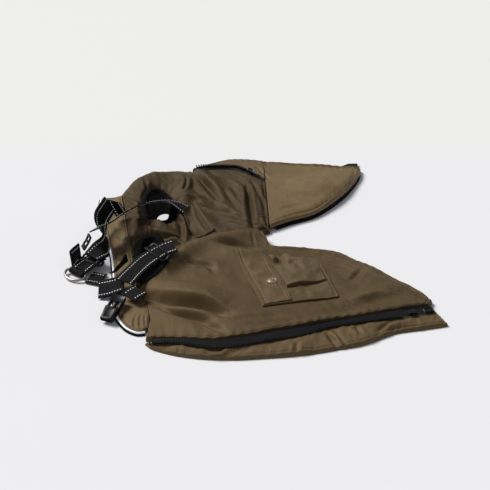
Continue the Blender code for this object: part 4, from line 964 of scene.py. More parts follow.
def add_detail(grid, looks, layer, turn, ripple):
    """Creases, ripples, seams and rolled hems on a panel's outside. Gives the inside too."""
    x, y = grid[:, :, 0], grid[:, :, 1]
    flat = grid[:, :, :2]
    across = np.concatenate([np.zeros((grid.shape[0], 1)),
                             np.cumsum(np.linalg.norm(np.diff(flat, axis=1), axis=2), axis=1)], axis=1)
    along = np.concatenate([np.zeros((1, grid.shape[1])),
                            np.cumsum(np.linalg.norm(np.diff(flat, axis=0), axis=2), axis=0)], axis=0)
    away = {"near": across, "far": across[:, -1:] - across, "start": along, "end": along[-1:] - along}
    run = {"near": along, "far": along, "start": across, "end": across}
    z = grid[:, :, 2].copy()
    inner = np.maximum(0.0, z - WALL)
    z += crease_height(x, y) + drape(x, y, layer, turn, amount=ripple)
    for k, (side, look) in enumerate(looks.items()):
        z += edge_relief(away[side], run[side], look, layer + k)
    z = np.maximum(z, inner + 1.2)
    for side, look in looks.items():
        if look.roll:
            d = np.clip(away[side] / look.roll, 0, 1)
            z = inner + (z - inner) * np.maximum(np.sqrt(1 - (1 - d) ** 2), 0.12)
    detailed = grid.copy()
    detailed[:, :, 2] = z
    inside = grid.copy()
    inside[:, :, 2] = inner
    for side, look in looks.items():
        if look.stitch:
            stitch_lines.append(line_at(detailed, away[side], side, look.stitch))
    return detailed, inside


def line_at(grid, away, side, distance):
    """The line on a grid that runs at a distance from one of its edges."""
    turned = side in ("start", "end")
    points = grid.transpose(1, 0, 2) if turned else grid
    gap = away.T if turned else away
    at = np.argmin(np.abs(gap - distance), axis=1)
    line = points[np.arange(len(points)), at]
    return line[4:-4]

# %% [markdown]
# ## The chest and belly panel
# One large piece with two leg openings. Round each opening the cloth is gathered into the elastic cuff, so it
# has short radial puckers; beside the belly seam it is gathered too. The openings are cut by leaving out grid
# cells and pulling the rim onto an oval.

# %% Leg openings
CUFF_BAND, CUFF_THICK = 9.0, 5.0
CHEST_CROWN = 2.0


def in_hole(hole, x, y):
    turn = math.radians(hole.turn_deg)
    dx, dy = x - hole.x, y - hole.y
    return ((dx * math.cos(turn) + dy * math.sin(turn)) / hole.half_width,
            (-dx * math.sin(turn) + dy * math.cos(turn)) / hole.half_length)


def from_hole(hole, across, length):
    turn = math.radians(hole.turn_deg)
    dx, dy = across * hole.half_width, length * hole.half_length
    return (hole.x + dx * math.cos(turn) - dy * math.sin(turn),
            hole.y + dx * math.sin(turn) + dy * math.cos(turn))


def open_holes(grid, holes):
    """Marks the cells inside each hole and moves their rim onto the hole's outline."""
    keep = np.ones((grid.shape[0] - 1, grid.shape[1] - 1), bool)
    middle = (grid[:-1, :-1] + grid[1:, :-1] + grid[:-1, 1:] + grid[1:, 1:]) / 4
    for hole in holes:
        across, length = in_hole(hole, middle[:, :, 0], middle[:, :, 1])
        inside = np.hypot(across, length) < 1
        keep &= ~inside
        touched = np.zeros(grid.shape[:2], bool)
        kept = np.zeros(grid.shape[:2], bool)
        for di in (0, 1):
            for dj in (0, 1):
                touched[di:di + inside.shape[0], dj:dj + inside.shape[1]] |= inside
                kept[di:di + inside.shape[0], dj:dj + inside.shape[1]] |= ~inside
        rim = touched & kept
        across, length = in_hole(hole, grid[:, :, 0], grid[:, :, 1])
        radius = np.maximum(np.hypot(across, length), 1e-6)
        on_x, on_y = from_hole(hole, across / radius, length / radius)
        grid[:, :, 0] = np.where(rim, on_x, grid[:, :, 0])
        grid[:, :, 1] = np.where(rim, on_y, grid[:, :, 1])
        loose = ~rim & (radius > 1) & (radius < 1.25)
        loose[[0, -1]] = False
        loose[:, [0, -1]] = False
        for _ in range(12):
            around = (np.roll(grid, 1, 0) + np.roll(grid, -1, 0) + np.roll(grid, 1, 1) + np.roll(grid, -1, 1)) / 4
            grid[loose, :2] = around[loose, :2]
    return keep


def cuff_gathers(x, y):
    """Short radial puckers and the dip at the rim of each leg opening."""
    total = np.zeros(x.shape)
    for layer, hole in enumerate(LEG_HOLES.values()):
        across, length = in_hole(hole, x, y)
        radius = np.hypot(across, length)
        turn = np.arctan2(length, across)
        out = np.maximum(radius - 1, 0) * (hole.half_width + hole.half_length) / 2
        uneven = 0.6 + 0.6 * smooth_noise(3 * np.cos(turn) + 5, 3 * np.sin(turn) + 5, layer)
        wave = np.cos(21 * turn + 2.6 * smooth_noise(2 * np.cos(turn), 2 * np.sin(turn) + 9, layer + 2))
        total += 1.7 * uneven * wave * np.exp(-((out / 9) ** 2)) * np.clip(out / 2.5, 0, 1)
        total -= 2.4 * np.exp(-((out / 2.2) ** 2))
    return total


def belly_gathers(x, y):
    """Gathers that fan out from the elastic at the belly hem."""
    dx, dy = x - 29, y - 33
    reach = np.hypot(dx, dy)
    turn = np.arctan2(dy, -dx)
    wave = np.cos(11 * turn + 1.5 * smooth_noise(reach / 12, turn * 2, 4))
    return 1.9 * wave * np.exp(-((reach / 22) ** 2)) * np.clip(reach / 8, 0, 1)


# %% Chest panel
chest, *_ = panel_grid(ROLL_LINE, CHEST_FAR, (176, 190), CHEST_CROWN, None, 0, 0)
keep = open_holes(chest, LEG_HOLES.values())
x, y = chest[:, :, 0], chest[:, :, 1]
base = chest[:, :, 2]
share = np.linspace(0, 1, 61)
plain = along_rows(ROLL_LINE, 80)[:, None] * (1 - share[None, :, None])
plain = plain + along_rows(CHEST_FAR, 80)[:, None] * share[None, :, None]


def chest_height(x, y):
    """The chest panel's main height at a plan point, for what is sewn to its edges."""
    nearest = np.argmin((plain[:, :, 0] - x) ** 2 + (plain[:, :, 1] - y) ** 2)
    return plain.reshape(-1, 3)[nearest, 2] + CHEST_CROWN + float(fold_height(x, y))


SEAM = EdgeLook(0, 1.1, 0, 0.45, 9)
chest_looks = {"near": SEAM, "far": EdgeLook(0, 1.0, 0, 0.7, 8), "start": EdgeLook(0, 1.2, 0, 0.7, 9),
               "end": EdgeLook(0, 0.1, 4.0, 1.1, 6)}
chest_top, chest_inner = add_detail(chest, chest_looks, 0, -48, 1.15)
chest_top[:, :, 2] += cuff_gathers(x, y) + belly_gathers(x, y)
chest_top[:, :, 2] = np.maximum(chest_top[:, :, 2], chest_inner[:, :, 2] + 0.8)
chest_panel = enlist(closed_sheet("chest_panel_sewn", chest_top, chest_inner, nylon_chest_painted_shade, keep),
                     ["chest_panel"])

# %% [markdown]
# ### Rib cuffs
# Each cuff is a folded band of rib knit: it rolls over the rim of the opening and its inner face goes down to
# the table. Knit ribs run across the band, so the band has fine ridges all the way round.

# %% Cuffs
CUFF_RIBS = 96
CUFF_STEPS = 4 * CUFF_RIBS
CUFF_FOOT = {"far": Hole(-106.5, 68, 8.5, 12, -14), "near": Hole(-114, -40, 13, 24, 4)}


def smooth_ring(points, times):
    """A closed smooth curve through points, as a closed list with times steps for each."""
    points = np.asarray(points, float)
    rows = np.concatenate([points[-1:], points, points[:2]])
    at = np.arange(len(points) * times) / times + 1
    i = at.astype(int)
    t = (at - i)[:, None]
    a, b, c, d = rows[i - 1], rows[i], rows[i + 1], rows[np.minimum(i + 2, len(rows) - 1)]
    return 0.5 * (2 * b + (c - a) * t + (2 * a - 5 * b + 4 * c - d) * t**2 + (3 * b - a - 3 * c + d) * t**3)


def loft(name, sections, finish, uv=None, closed=False, smooth=True):
    """A closed body through equal rings of points, capped at both ends or closed on itself."""
    count, around = sections.shape[:2]
    i = np.arange(count if closed else count - 1)[:, None] * around
    following = (np.arange(count if closed else count - 1)[:, None] + 1) % count * around
    j = np.arange(around)[None, :]
    k = (j + 1) % around
    faces = np.stack([i + j, i + k, following + k, following + j], axis=2).reshape(-1, 4).tolist()
    if not closed:
        faces.append(list(range(around)))
        faces.append(list(range((count - 1) * around, count * around)))
    made = new_object(name, sections.reshape(-1, 3), faces, finish, uv, smooth)
    shape = bmesh.new()
    shape.from_mesh(made.data)
    bmesh.ops.recalc_face_normals(shape, faces=shape.faces)
    shape.to_mesh(made.data)
    shape.free()
    check_outward(made)
    return made


def leg_cuff(side):
    hole = LEG_HOLES[side]
    angles = np.linspace(0, 2 * math.pi, CUFF_STEPS + 1)[:-1]
    heights = []
    for angle in angles[::6]:
        rim = np.array(from_hole(hole, math.cos(angle), math.sin(angle)))
        heights.append(max(chest_height(*rim), CUFF_THICK + 1.0))
    heights = np.array(heights)
    for _ in range(2):
        heights = (np.roll(heights, 1) + 2 * heights + np.roll(heights, -1)) / 4
    heights = np.interp(np.arange(CUFF_STEPS), np.arange(0, CUFF_STEPS + 1, 6), np.append(heights, heights[0]))
    sections, uv = [], []
    around = 0.0
    before = None
    for n, angle in enumerate(angles):
        rim = np.array(from_hole(hole, math.cos(angle), math.sin(angle)))
        inward = unit(np.array([hole.x, hole.y]) - rim)
        height = heights[n]
        ridge = 0.22 * math.cos(CUFF_RIBS * angle)
        slack = 0.5 * float(smooth_noise(2.5 * math.cos(angle) + 3, 2.5 * math.sin(angle) + 3, 5))
        profile = [
            (-0.10, height - 0.62 * CUFF_THICK), (0.06, height - 0.06 * CUFF_THICK),
            (0.42, height + 0.14 * CUFF_THICK), (0.78, height + 0.02 * CUFF_THICK),
            (1.0, height - 0.35 * CUFF_THICK), (1.08, 0.4 * height), (1.02, 0.0),
            (0.82, 0.0), (0.86, 0.4 * height), (0.72, height - 0.75 * CUFF_THICK),
            (0.12, height - 0.95 * CUFF_THICK),
        ]
        ring = smooth_ring([(share, max(z, 0.0)) for share, z in profile], 3)
        lift = np.where(ring[:, 1] > 1.0, ridge + slack * np.clip(ring[:, 1] / height, 0, 1), 0)
        foot = np.array(from_hole(CUFF_FOOT[side], math.cos(angle), math.sin(angle)))
        lean = foot - (rim + inward * (1.0 + CUFF_BAND))
        sag = np.clip(1 - ring[:, 1] / (height - 0.5 * CUFF_THICK), 0, 1) * np.clip((ring[:, 0] - 0.55) / 0.25, 0, 1)
        section = [[*(rim + inward * (1.0 + share * CUFF_BAND) + lean * low), max(z + up, 0.0)]
                   for (share, z), up, low in zip(ring, lift, sag)]
        if before is not None:
            around += np.linalg.norm(rim - before)
        before = rim
        sections.append(section)
        run = np.linspace(0, 2 * (CUFF_BAND + height), len(ring))
        uv += [(around * MM, v * MM) for v in run]
    made = loft(f"leg_cuff_{side}_knit", np.array(sections), rib, uv, closed=True)
    return enlist(made, [f"leg_cuff_{side}"])


cuff_far, cuff_near = leg_cuff("far"), leg_cuff("near")

# %% [markdown]
# ## Collar
# A folded band along the neck end. Its outer edge is finished with white reflective piping over a black
# binding, and its rounded near end is gathered a little into the flank's seam.

# %% Collar panel
collar, *_ = panel_grid(COLLAR_EDGE, COLLAR_SEAM, (230, 34), 1.0, None, 0, 0)
collar_looks = {"near": EdgeLook(2.0, 0, 3.2, 0.35, 7), "far": EdgeLook(0, 1.2, 2.4, 0.5, 8),
                "start": EdgeLook(2.0, 0, 0, 0, 9), "end": EdgeLook(0, 1.2, 0, 0.5, 6)}
collar_top, collar_inner = add_detail(collar, collar_looks, 2, 10, 0.7)
collar_top[:, :, 2] = np.maximum(collar_top[:, :, 2], collar_inner[:, :, 2] + 0.8)
collar_piece = enlist(closed_sheet("collar_sewn", collar_top, collar_inner, nylon_collar_painted_light),
                      ["collar"])

# %% Piping and binding
PIPING = 2.4
BINDING_THICK, BINDING_SHOWS = 1.6, 1.6


def tube(name, line, radius, around, finish, squash=1.0, closed=False):
    """A round cord along a line, with a UV map in metres."""
    along = unit(np.gradient(line, axis=0))
    if closed:
        along = unit(np.roll(line, -1, 0) - np.roll(line, 1, 0))
    side = unit(np.cross(along, UP))
    lift = np.cross(side, along)
    turn = np.linspace(0, 2 * math.pi, around + 1)[:-1]
    sections = (line[:, None] + radius * np.cos(turn)[None, :, None] * side[:, None]
                + squash * radius * np.sin(turn)[None, :, None] * lift[:, None])
    run = np.repeat(lengths(line), around)
    uv = np.stack([run, np.tile(turn * radius, len(line))], axis=1) * MM
    return loft(name, sections, finish, uv, closed)


def rounded_strip(name, line, out, low, high, finish):
    """A narrow bound edge with rounded corners, between two distances beside a line."""
    left, right = beside(line, out[0]), beside(line, out[1])
    middle, half = (left + right) / 2, (right - left) / 2
    sections = []
    for across, height in ((-1, 0.1), (-0.96, 0.75), (-0.8, 0.97), (0, 1.0), (0.75, 0.95), (0.95, 0.7),
                           (1, 0.35), (0.93, 0.05), (0.5, 0), (-0.5, 0), (-0.95, 0.0)):
        points = middle + across * half
        points[:, 2] = low + height * (high - low)
        sections.append(points)
    sections = np.stack(sections, axis=1)
    run = np.repeat(lengths(line), sections.shape[1])
    uv = np.stack([run, np.tile(np.arange(sections.shape[1]) * 0.6, len(line))], axis=1) * MM
    return loft(name, sections, finish, uv)


edge_line = along_rows(COLLAR_EDGE, 260)
binding = rounded_strip("collar_binding_folded", edge_line, (-0.6, 0.2 + PIPING + BINDING_SHOWS), 0.0,
                        BINDING_THICK, rib)
enlist(binding, ["collar_binding"])
piping_line = beside(edge_line, 0.1 + PIPING / 2)
piping_line[:, 2] = BINDING_THICK + 0.1 + PIPING / 2 + 0.12 * smooth_noise(lengths(edge_line) / 14, 3.3, 1)
piping = enlist(tube("collar_piping_cord", piping_line, PIPING / 2, 12, white_trim),
                ["collar_piping"])

# %% [markdown]
# ## The two halves of the back
# The near half is the largest piece in the picture. Its far edge is rolled up over the chest, it has the deep
# soft folds of slack padding at its left end, and a stitched hem along the right. The far half lies flatter,
# and its hem is a thick roll with the black lining showing below.

# %% Near half and its placket
ZIP_WIDTH, ZIP_HEIGHT = 3.4, 2.6
near_half, *_ = panel_grid(NEAR_PANEL_NEAR, NEAR_PANEL_FAR, (250, 130), 1.5, None, 0, 0, bulge=7.5)
near_looks = {"near": EdgeLook(1.6, 0, 3.4, 0.8, 13), "far": EdgeLook(3.5, 0, 8.5, 0.42, 10),
              "start": EdgeLook(0, 1.3, 0, 0.6, 8), "end": EdgeLook(2.5, 0, 6.0, 0.3, 9)}
near_top, near_inner = add_detail(near_half, near_looks, 4, -20, 1.15)
near_panel = enlist(closed_sheet("back_panel_near_sewn", near_top, near_inner, nylon_near_painted_shading),
                    ["back_panel_near"])

placket_top_rows = shifted(ZIP_NEAR_TEETH, ZIP_WIDTH / 2 + 0.2)
placket, *_ = panel_grid(PLACKET_NEAR_EDGE, placket_top_rows, (330, 34), 0.8, None, 0, 0)
placket_looks = {"near": EdgeLook(2.6, 0, 4.2, 0.32, 11), "far": EdgeLook(1.0, 0, 2.2, 0.4, 12),
                 "start": EdgeLook(2.5, 0, 0, 0.2, 7), "end": EdgeLook(2.0, 0, 3.5, 0.2, 7)}
placket_detail, placket_inner = add_detail(placket, placket_looks, 3, 70, 0.9)
placket_near = enlist(closed_sheet("placket_near_sewn", placket_detail, placket_inner, nylon_facing),
                      ["placket_near"])

# %% Far half, its placket, lining and tape end
HEM_SHARE = 0.5
far_half, *_ = panel_grid(FAR_PANEL_HEM, FAR_PANEL_TOP, (170, 110), 2.5, None, 0, 0)
far_looks = {"near": EdgeLook(4.2, 0, 6.5, 0.5, 10), "far": EdgeLook(2.5, 0, 5.0, 0.35, 11),
             "start": EdgeLook(0, 0.2, 0, 1.1, 7), "end": EdgeLook(3.0, 0, 5.0, 0.2, 8)}
hem_height = along_rows(FAR_PANEL_HEM, 170)
far_top, far_inner = add_detail(far_half, far_looks, 1, -12, 0.95)
row_x = far_half[:, 0]
across = np.linalg.norm(far_half[:, :, :2] - far_half[:, :1, :2], axis=2)
lifted = HEM_SHARE * far_half[:, :1, 2] * np.clip(1 - across / 16.0, 0, 1)
rolled = np.clip(across / 4.2, 0, 1)
full = far_half[:, :, 2] + (far_top[:, :, 2] - far_half[:, :, 2]) * np.clip(across / 4.2 - 0.6, 0, 1)
full = lifted + (full - lifted) * np.maximum(np.sqrt(1 - (1 - rolled) ** 2), 0.12)
near_rim = across < 9.0
far_top[:, :, 2] = np.where(near_rim, np.maximum(full, lifted + 0.4), far_top[:, :, 2])
far_inner[:, :, 2] = np.where(near_rim | (across < 16), np.maximum(far_inner[:, :, 2], lifted), far_inner[:, :, 2])
far_panel = enlist(closed_sheet("back_panel_far_sewn", far_top, far_inner, nylon_far_painted_light),
                   ["back_panel_far"])

FAR_CHAIN = 2.6
placket_low_rows = shifted(ZIP_FAR_LINE, -FAR_CHAIN / 2 - 0.2)
far_placket, *_ = panel_grid(placket_low_rows, PLACKET_FAR_TOP, (130, 40), 1.0, None, 0, 0)
far_placket_looks = {"near": EdgeLook(1.2, 0, 2.4, 0.35, 8), "far": EdgeLook(2.5, 0, 5.0, 0.3, 9),
                     "start": EdgeLook(1.5, 0, 0, 0, 9), "end": EdgeLook(0, 0.15, 0, 0.2, 9)}
far_placket_top, far_placket_inner = add_detail(far_placket, far_placket_looks, 5, 20, 0.8)
placket_far = enlist(closed_sheet("placket_far_sewn", far_placket_top, far_placket_inner, nylon_far_painted_light),
                     ["placket_far"])

LINING_SHOWS, LINING_DEPTH = 1.5, 0.35
FAR_CELLS_ACROSS = 10
hem = along_rows(FAR_PANEL_HEM, 180)
hem_in = hem + LINING_DEPTH * (along_rows(FAR_PANEL_TOP, 180) - hem) / FAR_CELLS_ACROSS
hem_out = beside(hem, LINING_SHOWS)
lining_height = hem[:, 2] + fold_height(hem[:, 0], hem[:, 1])
depths = np.array([0, 0.08, 0.2, 0.5, 1.0])
lining = hem_out[:, None] * (1 - depths[None, :, None]) + hem_in[:, None] * depths[None, :, None]
rise = np.array([0.08, 0.30, 0.42, 0.30, 0.12])
wavy = 1 + 0.10 * smooth_noise(lengths(hem) / 9, 2.2, 2)
lining[:, :, 2] = lining_height[:, None] * rise[None, :] * wavy[:, None]
lining_low = lining.copy()
lining_low[:, :, 2] = 0.0
hem_lining = enlist(closed_sheet("hem_lining_far_knit", lining[8:-14], lining_low[8:-14], rib),
                    ["hem_lining_far"])

tape_end, *_ = panel_grid([Edge(136, 209, 4), Edge(148, 211, 4), Edge(160, 209, 4)],
                          [Edge(138, 213, 4), Edge(148, 221, 4), Edge(161, 222, 4)], (40, 16), 0.0, None, 0, 0)
tape_end[:, :, 2] -= 1.2 * (1 - np.sin(np.pi * spaced(16)))[None, :]
tape_end_low = tape_end.copy()
tape_end_low[:, :, 2] = 0.0
zip_end = enlist(closed_sheet("zip_end_far_folded", tape_end, tape_end_low, tape_cloth),
                 ["zip_end_far"])

# %% [markdown]
# ## Resting one layer on another
# The pocket, the strap flap and the stitches lie on cloth that is not flat. A search tree over the finished
# pieces gives the height at any point, so that what lies on top follows every fold below it.

# %% Heights of finished pieces
def surface_of(pieces):
    points, faces = [], []
    for item in pieces:
        start = len(points)
        points += [Vector(np.array(vertex.co) / MM + ORIGIN) for vertex in item.data.vertices]
        faces += [[start + k for k in face.vertices] for face in item.data.polygons]
    return BVHTree.FromPolygons(points, faces)


def height_on(tree, x, y, lowest=0.0):
    """The surface's height at each plan point."""
    heights = np.full(np.shape(x), lowest)
    for at in np.ndindex(np.shape(x)):
        hit = tree.ray_cast(Vector((x[at], y[at], 200.0)), Vector((0, 0, -1)))[0]
        if hit is not None:
            heights[at] = max(hit.z, lowest)
    return heights


def softened(heights, times):
    """Heights averaged with their neighbours, never below where they started."""
    soft = heights.copy()
    for _ in range(times):
        padded = np.pad(soft, 1, mode="edge")
        around = (padded[:-2, 1:-1] + padded[2:, 1:-1] + padded[1:-1, :-2] + padded[1:-1, 2:]) / 4
        soft = np.maximum(around, heights)
    return soft


def four_cornered(corners, count):
    """A plan grid between four corners: near left, near right, far right, far left."""
    u, v = spaced(count[0], 0.4)[:, None, None], spaced(count[1], 0.4)[None, :, None]
    a, b, c, d = (np.array(tuple(corner), float) for corner in corners)
    return (1 - v) * ((1 - u) * a + u * b) + v * ((1 - u) * d + u * c), u[:, :, 0], v[:, :, 0]


def patch(name, corners, count, tree, wall, shape, finish, soften=6, roll=1.1, clearance=0.15):
    """A sewn-on piece: a body of even thickness on the cloth below, with its own form added by shape(x, y, u, v)."""
    plan, u, v = four_cornered(corners, count)
    x, y = plan[:, :, 0], plan[:, :, 1]
    rest = softened(height_on(tree, x, y), soften) + clearance
    form = shape(x, y, u + 0 * v, v + 0 * u)
    wide = np.linalg.norm(plan[-1, 0] - plan[0, 0])
    long = np.linalg.norm(plan[0, -1] - plan[0, 0])
    away = np.minimum(np.minimum(u, 1 - u) * wide, np.minimum(v, 1 - v) * long)
    rounded = np.maximum(np.sqrt(np.clip(1 - (1 - np.clip(away / roll, 0, 1)) ** 2, 0, 1)), 0.1)
    top = np.stack([x, y, rest + (wall + np.maximum(form, 0.2 - wall)) * rounded], axis=2)
    bottom = np.stack([x, y, rest], axis=2)
    return closed_sheet(name, top, bottom, finish), top, away


# %% [markdown]
# ## Cargo pocket
# A patch pocket: the bag is stitched down along its left and near edges, a band with the snap crosses it, and a
# flap covers its right part. The far end is bunched, with soft loops. All three are one layer of shell cloth
# with its seam allowance turned under, so their edges are thick and round.

# %% Pocket
THIN_WALL = 1.6


def groove(away, distance, depth=0.95, width=0.9):
    return -depth * np.exp(-(((away - distance) / width) ** 2))


def bag_form(x, y, u, v):
    edge = np.minimum(np.minimum(u, 1 - u) * 88, np.minimum(v, 1 - v) * 108)
    swell = 1.6 * (np.sin(np.pi * u) * np.sin(np.pi * v)) ** 0.6
    creases = 1.1 * smooth_noise(x / 16 + 2, y / 11 + 8, 3) + 0.5 * smooth_noise(x / 7, y / 7, 5)
    return swell + 1.1 * creases * np.clip(edge / 6, 0, 1) + groove(edge, 3.4, 0.5)


def band_form(x, y, u, v):
    edge = np.minimum(u, 1 - u) * 34
    waves = 0.5 * smooth_noise(x / 14, y / 16 + 3, 4)
    double = groove((1 - u) * 34, 2.0, 0.45, 0.6) + groove((1 - u) * 34, 5.6, 0.45, 0.6)
    return 0.7 * np.sin(np.pi * np.clip(v, 0, 1)) ** 0.5 + waves + double + groove(u * 34, 3.0) + 0 * edge


def flap_form(x, y, u, v):
    """Bunched at the far end, with a wedge-shaped hollow near the band and a wave along its near edge."""
    bunch = np.exp(-(((1 - v) / 0.42) ** 2))
    loops = 3.4 * np.sin(9.5 * u + 2.2 * smooth_noise(x / 12, y / 18, 6) + 2.6 * v) * bunch
    hollow = -3.6 * np.exp(-(((u - 0.18 - 0.1 * (1 - v)) / 0.08) ** 2)) * np.clip(v * 1.8 - 0.5, 0, 1)
    lip = 1.6 * np.exp(-((v / 0.10) ** 2)) * (0.6 + 0.5 * np.sin(5.2 * u + 0.6))
    swell = 3.2 * (np.sin(np.pi * np.clip(u, 0, 1)) ** 0.6) * (0.35 + 0.65 * np.sin(np.pi * v) ** 0.7)
    return swell + loops + hollow + lip + 0.8 * smooth_noise(x / 9, y / 12, 2)


near_tree = surface_of([near_panel])
top_left, top_right, low_right, low_left = POCKET
bag, bag_top, bag_away = patch("pocket_bag_sewn", (low_left, low_right, top_right, top_left), (110, 120),
                               near_tree, THIN_WALL, bag_form, nylon_pocket_painted_light, 30, clearance=0.8)
enlist(bag, ["pocket_base"])
band_corners = ((low_left[0] + 1.5, low_left[1] + 1.5), SEAM_LOW, SEAM_TOP, (top_left[0] + 1.5, top_left[1] - 1.5))
band, band_top, band_away = patch("pocket_band_sewn", band_corners, (56, 120), surface_of([bag]), THIN_WALL,
                                  band_form, nylon_facing, 12, clearance=0.05)
enlist(band, ["pocket_band"])
flap_corners = (FLAP[0], (FLAP[1][0] - 3, FLAP[1][1] - 5), FLAP[2], FLAP[3])
flap, flap_top, flap_away = patch("pocket_flap_sewn", flap_corners, (110, 110), surface_of([bag]), THIN_WALL,
                                  flap_form, nylon_pocket_painted_light, 24, 1.4)
enlist(flap, ["pocket_flap"])
for grid, away, side, distance in ((bag_top, bag_away, "start", 3.4), (bag_top, bag_away, "near", 3.4),
                                   (bag_top, bag_away, "end", 3.4), (band_top, band_away, "end", 2.0),
                                   (band_top, band_away, "end", 5.6)):
    plan_away = {"start": lambda g: lengths(g[:, 0])[:, None] + 0 * g[:, :, 0],
                 "end": lambda g: (lengths(g[:, 0])[-1] - lengths(g[:, 0]))[:, None] + 0 * g[:, :, 0],
                 "near": lambda g: lengths(g[0])[None, :] + 0 * g[:, :, 0]}[side](grid)
    stitch_lines.append(line_at(grid, plan_away, side, distance))

# %% Strap flap
# The leash strap comes out of a slit behind this flap.
def strap_flap_form(x, y, u, v):
    welt = 2.6 * np.exp(-(((1 - u) / 0.10) ** 2)) + 1.8 * np.exp(-((u / 0.08) ** 2))
    inner = 1.5 * np.exp(-(((u - 0.62 + 0.12 * np.sin(4 * v)) / 0.10) ** 2)) * np.sin(np.pi * v) ** 0.6
    return welt + inner + 0.9 * smooth_noise(x / 9 + 4, y / 14, 1) + groove((1 - u) * 30, 4.6, 0.7, 0.9)


# %% [markdown]
# ## Harness webbing
# Straps of 25 mm webbing: flat ribbons that keep their width and twist as they lie. Each has two lines of white
# reflective stitches near its edges, on both faces. A strap is made straight along its own line, so its twill
# and its stitches follow every turn.

# %% Straps
DASH_PITCH, DASH_LONG, DASH_WIDE, DASH_HIGH = 3.3, 1.7, 1.0, 0.2
LINE_INSET = 4.6
dash_points, dash_faces = [], []
DASH_BOX = [(-1, -1, 0), (1, -1, 0), (1, 1, 0), (-1, 1, 0), (-0.8, -0.7, 1), (0.8, -0.7, 1), (0.8, 0.7, 1),
            (-0.8, 0.7, 1)]
DASH_SIDES = [(3, 2, 1, 0), (4, 5, 6, 7), (0, 1, 5, 4), (1, 2, 6, 5), (2, 3, 7, 6), (3, 0, 4, 7)]


def web_frames(rows, count):
    """Middle line, lengthwise, crosswise and face directions of a strap."""
    table = along_rows(rows, count)
    line = table[:, :3]
    along = unit(np.gradient(line, axis=0))
    across = unit(table[:, 3:] - along * (table[:, 3:] * along).sum(axis=1, keepdims=True))
    return line, along, across, np.cross(along, across)


def add_dashes(line, along, across, normal, offsets, surface, long=DASH_LONG, pitch=DASH_PITCH, wide=DASH_WIDE,
               start=1.0, into=None):
    """Small raised stitches in rows along a strap's faces."""
    points, faces = into if into else (dash_points, dash_faces)
    run = lengths(line)
    for offset in offsets:
        for n, at in enumerate(np.arange(start, run[-1] - start, pitch)):
            pick = lambda values: np.array([np.interp(at, run, values[:, k]) for k in range(3)])
            a, c, u = unit(pick(along)), unit(pick(across)), unit(pick(normal))
            place = pick(line) + (offset + 0.05 * math.sin(7.1 * n)) * c
            for side in (1, -1) if surface else (1,):
                base = place + side * (surface - 0.12) * u
                first = len(points)
                for i, j, k in DASH_BOX:
                    points.append(base + i * long / 2 * a + j * wide / 2 * c + side * k * DASH_HIGH * u)
                for ring in DASH_SIDES:
                    order = ring if side > 0 else ring[::-1]
                    faces.append([first + m for m in order])


def ribbon_sections(line, across, normal, width, thick, cells=12):
    """Cross-sections of webbing: flat faces with a slightly raised, rounded selvedge."""
    u = np.linspace(-1, 1, cells + 1)
    profile_top = thick / 2 * np.sqrt(np.clip(1 - np.abs(u) ** 14, 0, 1)) * (1 - 0.10 * np.exp(-((u / 0.5) ** 2)))
    sections = [line + x * width / 2 * across + z * normal for x, z in zip(u, profile_top)]
    sections += [line + x * width / 2 * across - z * normal for x, z in zip(u[::-1][1:-1], profile_top[::-1][1:-1])]
    return np.stack(sections, axis=1)


def strap(name, rows, count, node, width=WEB_WIDTH, thick=WEB_THICK, dashes=True):
    line, along, across, normal = web_frames(rows, count)
    sections = ribbon_sections(line, across, normal, width, thick)
    cells = 12
    run = lengths(line)
    side = np.concatenate([np.linspace(0, width, cells + 1), np.linspace(width, 0, cells + 1)[1:-1]])
    uv = np.stack([np.repeat(run, sections.shape[1]), np.tile(side, len(line))], axis=1) * MM
    made = loft(name, sections, webbing, uv)
    enlist(made, [node] if node else ())
    if dashes:
        inset = width / 2 - LINE_INSET * width / WEB_WIDTH
        add_dashes(line, along, across, normal, (-inset, inset), thick / 2)
    return made


leash = strap("strap_leash_woven", LEASH_STRAP, 150, "strap_leash")
neck_loop = strap("strap_neck_loop_woven", NECK_LOOP, 120, "strap_neck_loop")
ring_top = strap("strap_ring_top_woven", RING_STRAP_TOP, 40, "strap_ring_top")
ring_far = strap("strap_ring_far_woven", RING_STRAP_FAR, 30, "strap_ring_far")
ring_near = strap("strap_ring_near_woven", RING_STRAP_NEAR, 30, "strap_ring_near")
shoulder = strap("strap_shoulder_woven", SHOULDER_BAND, 40, "strap_shoulder")
riser = strap("strap_riser_woven", RISER_STRAP, 40, "strap_riser", width=14.0, dashes=False)
girth = strap("strap_girth_woven", GIRTH_STRAP, 110, "strap_girth")
buckle_strap = strap("strap_buckle_woven", BUCKLE_STRAP, 30, "strap_buckle")


def flat_web(name, corners, node, plan=False):
    """A short flat length of webbing between four corners."""
    a, b, c, d = (np.array(tuple(corner), float) for corner in corners)
    share = np.linspace(0, 1, 31)[:, None]
    left, right = a * (1 - share) + d * share, b * (1 - share) + c * share
    line, width = (left + right) / 2, np.linalg.norm(right - left, axis=1).mean()
    across = unit(right - left)
    along = unit(np.gradient(line, axis=0))
    normal = np.cross(along, across)
    made = loft(name, ribbon_sections(line, across, normal, width, WEB_THICK), webbing,
                np.stack([np.repeat(lengths(line), 24), np.tile(np.linspace(0, width, 24), len(line))], axis=1) * MM)
    enlist(made, [node])
    return made, (line, along, across, normal, width)


rise, (line, along, across, normal, width) = flat_web("strap_neck_rise_woven", NECK_RISE, "strap_neck_rise")
inset = width / 2 - 3.0
add_dashes(line, along, across, normal, (-inset, inset), WEB_THICK / 2)

# The girth strap's lower layer lies on the cloth below it.
under_tree = surface_of([chest_panel, near_panel, cuff_near, collar_piece])
under, *_ = patch("strap_girth_under_woven", GIRTH_UNDER, (60, 40), under_tree, WEB_THICK,
                  lambda x, y, u, v: 0 * x, webbing, 40, 0.9)
enlist(under, ["strap_girth_under"])

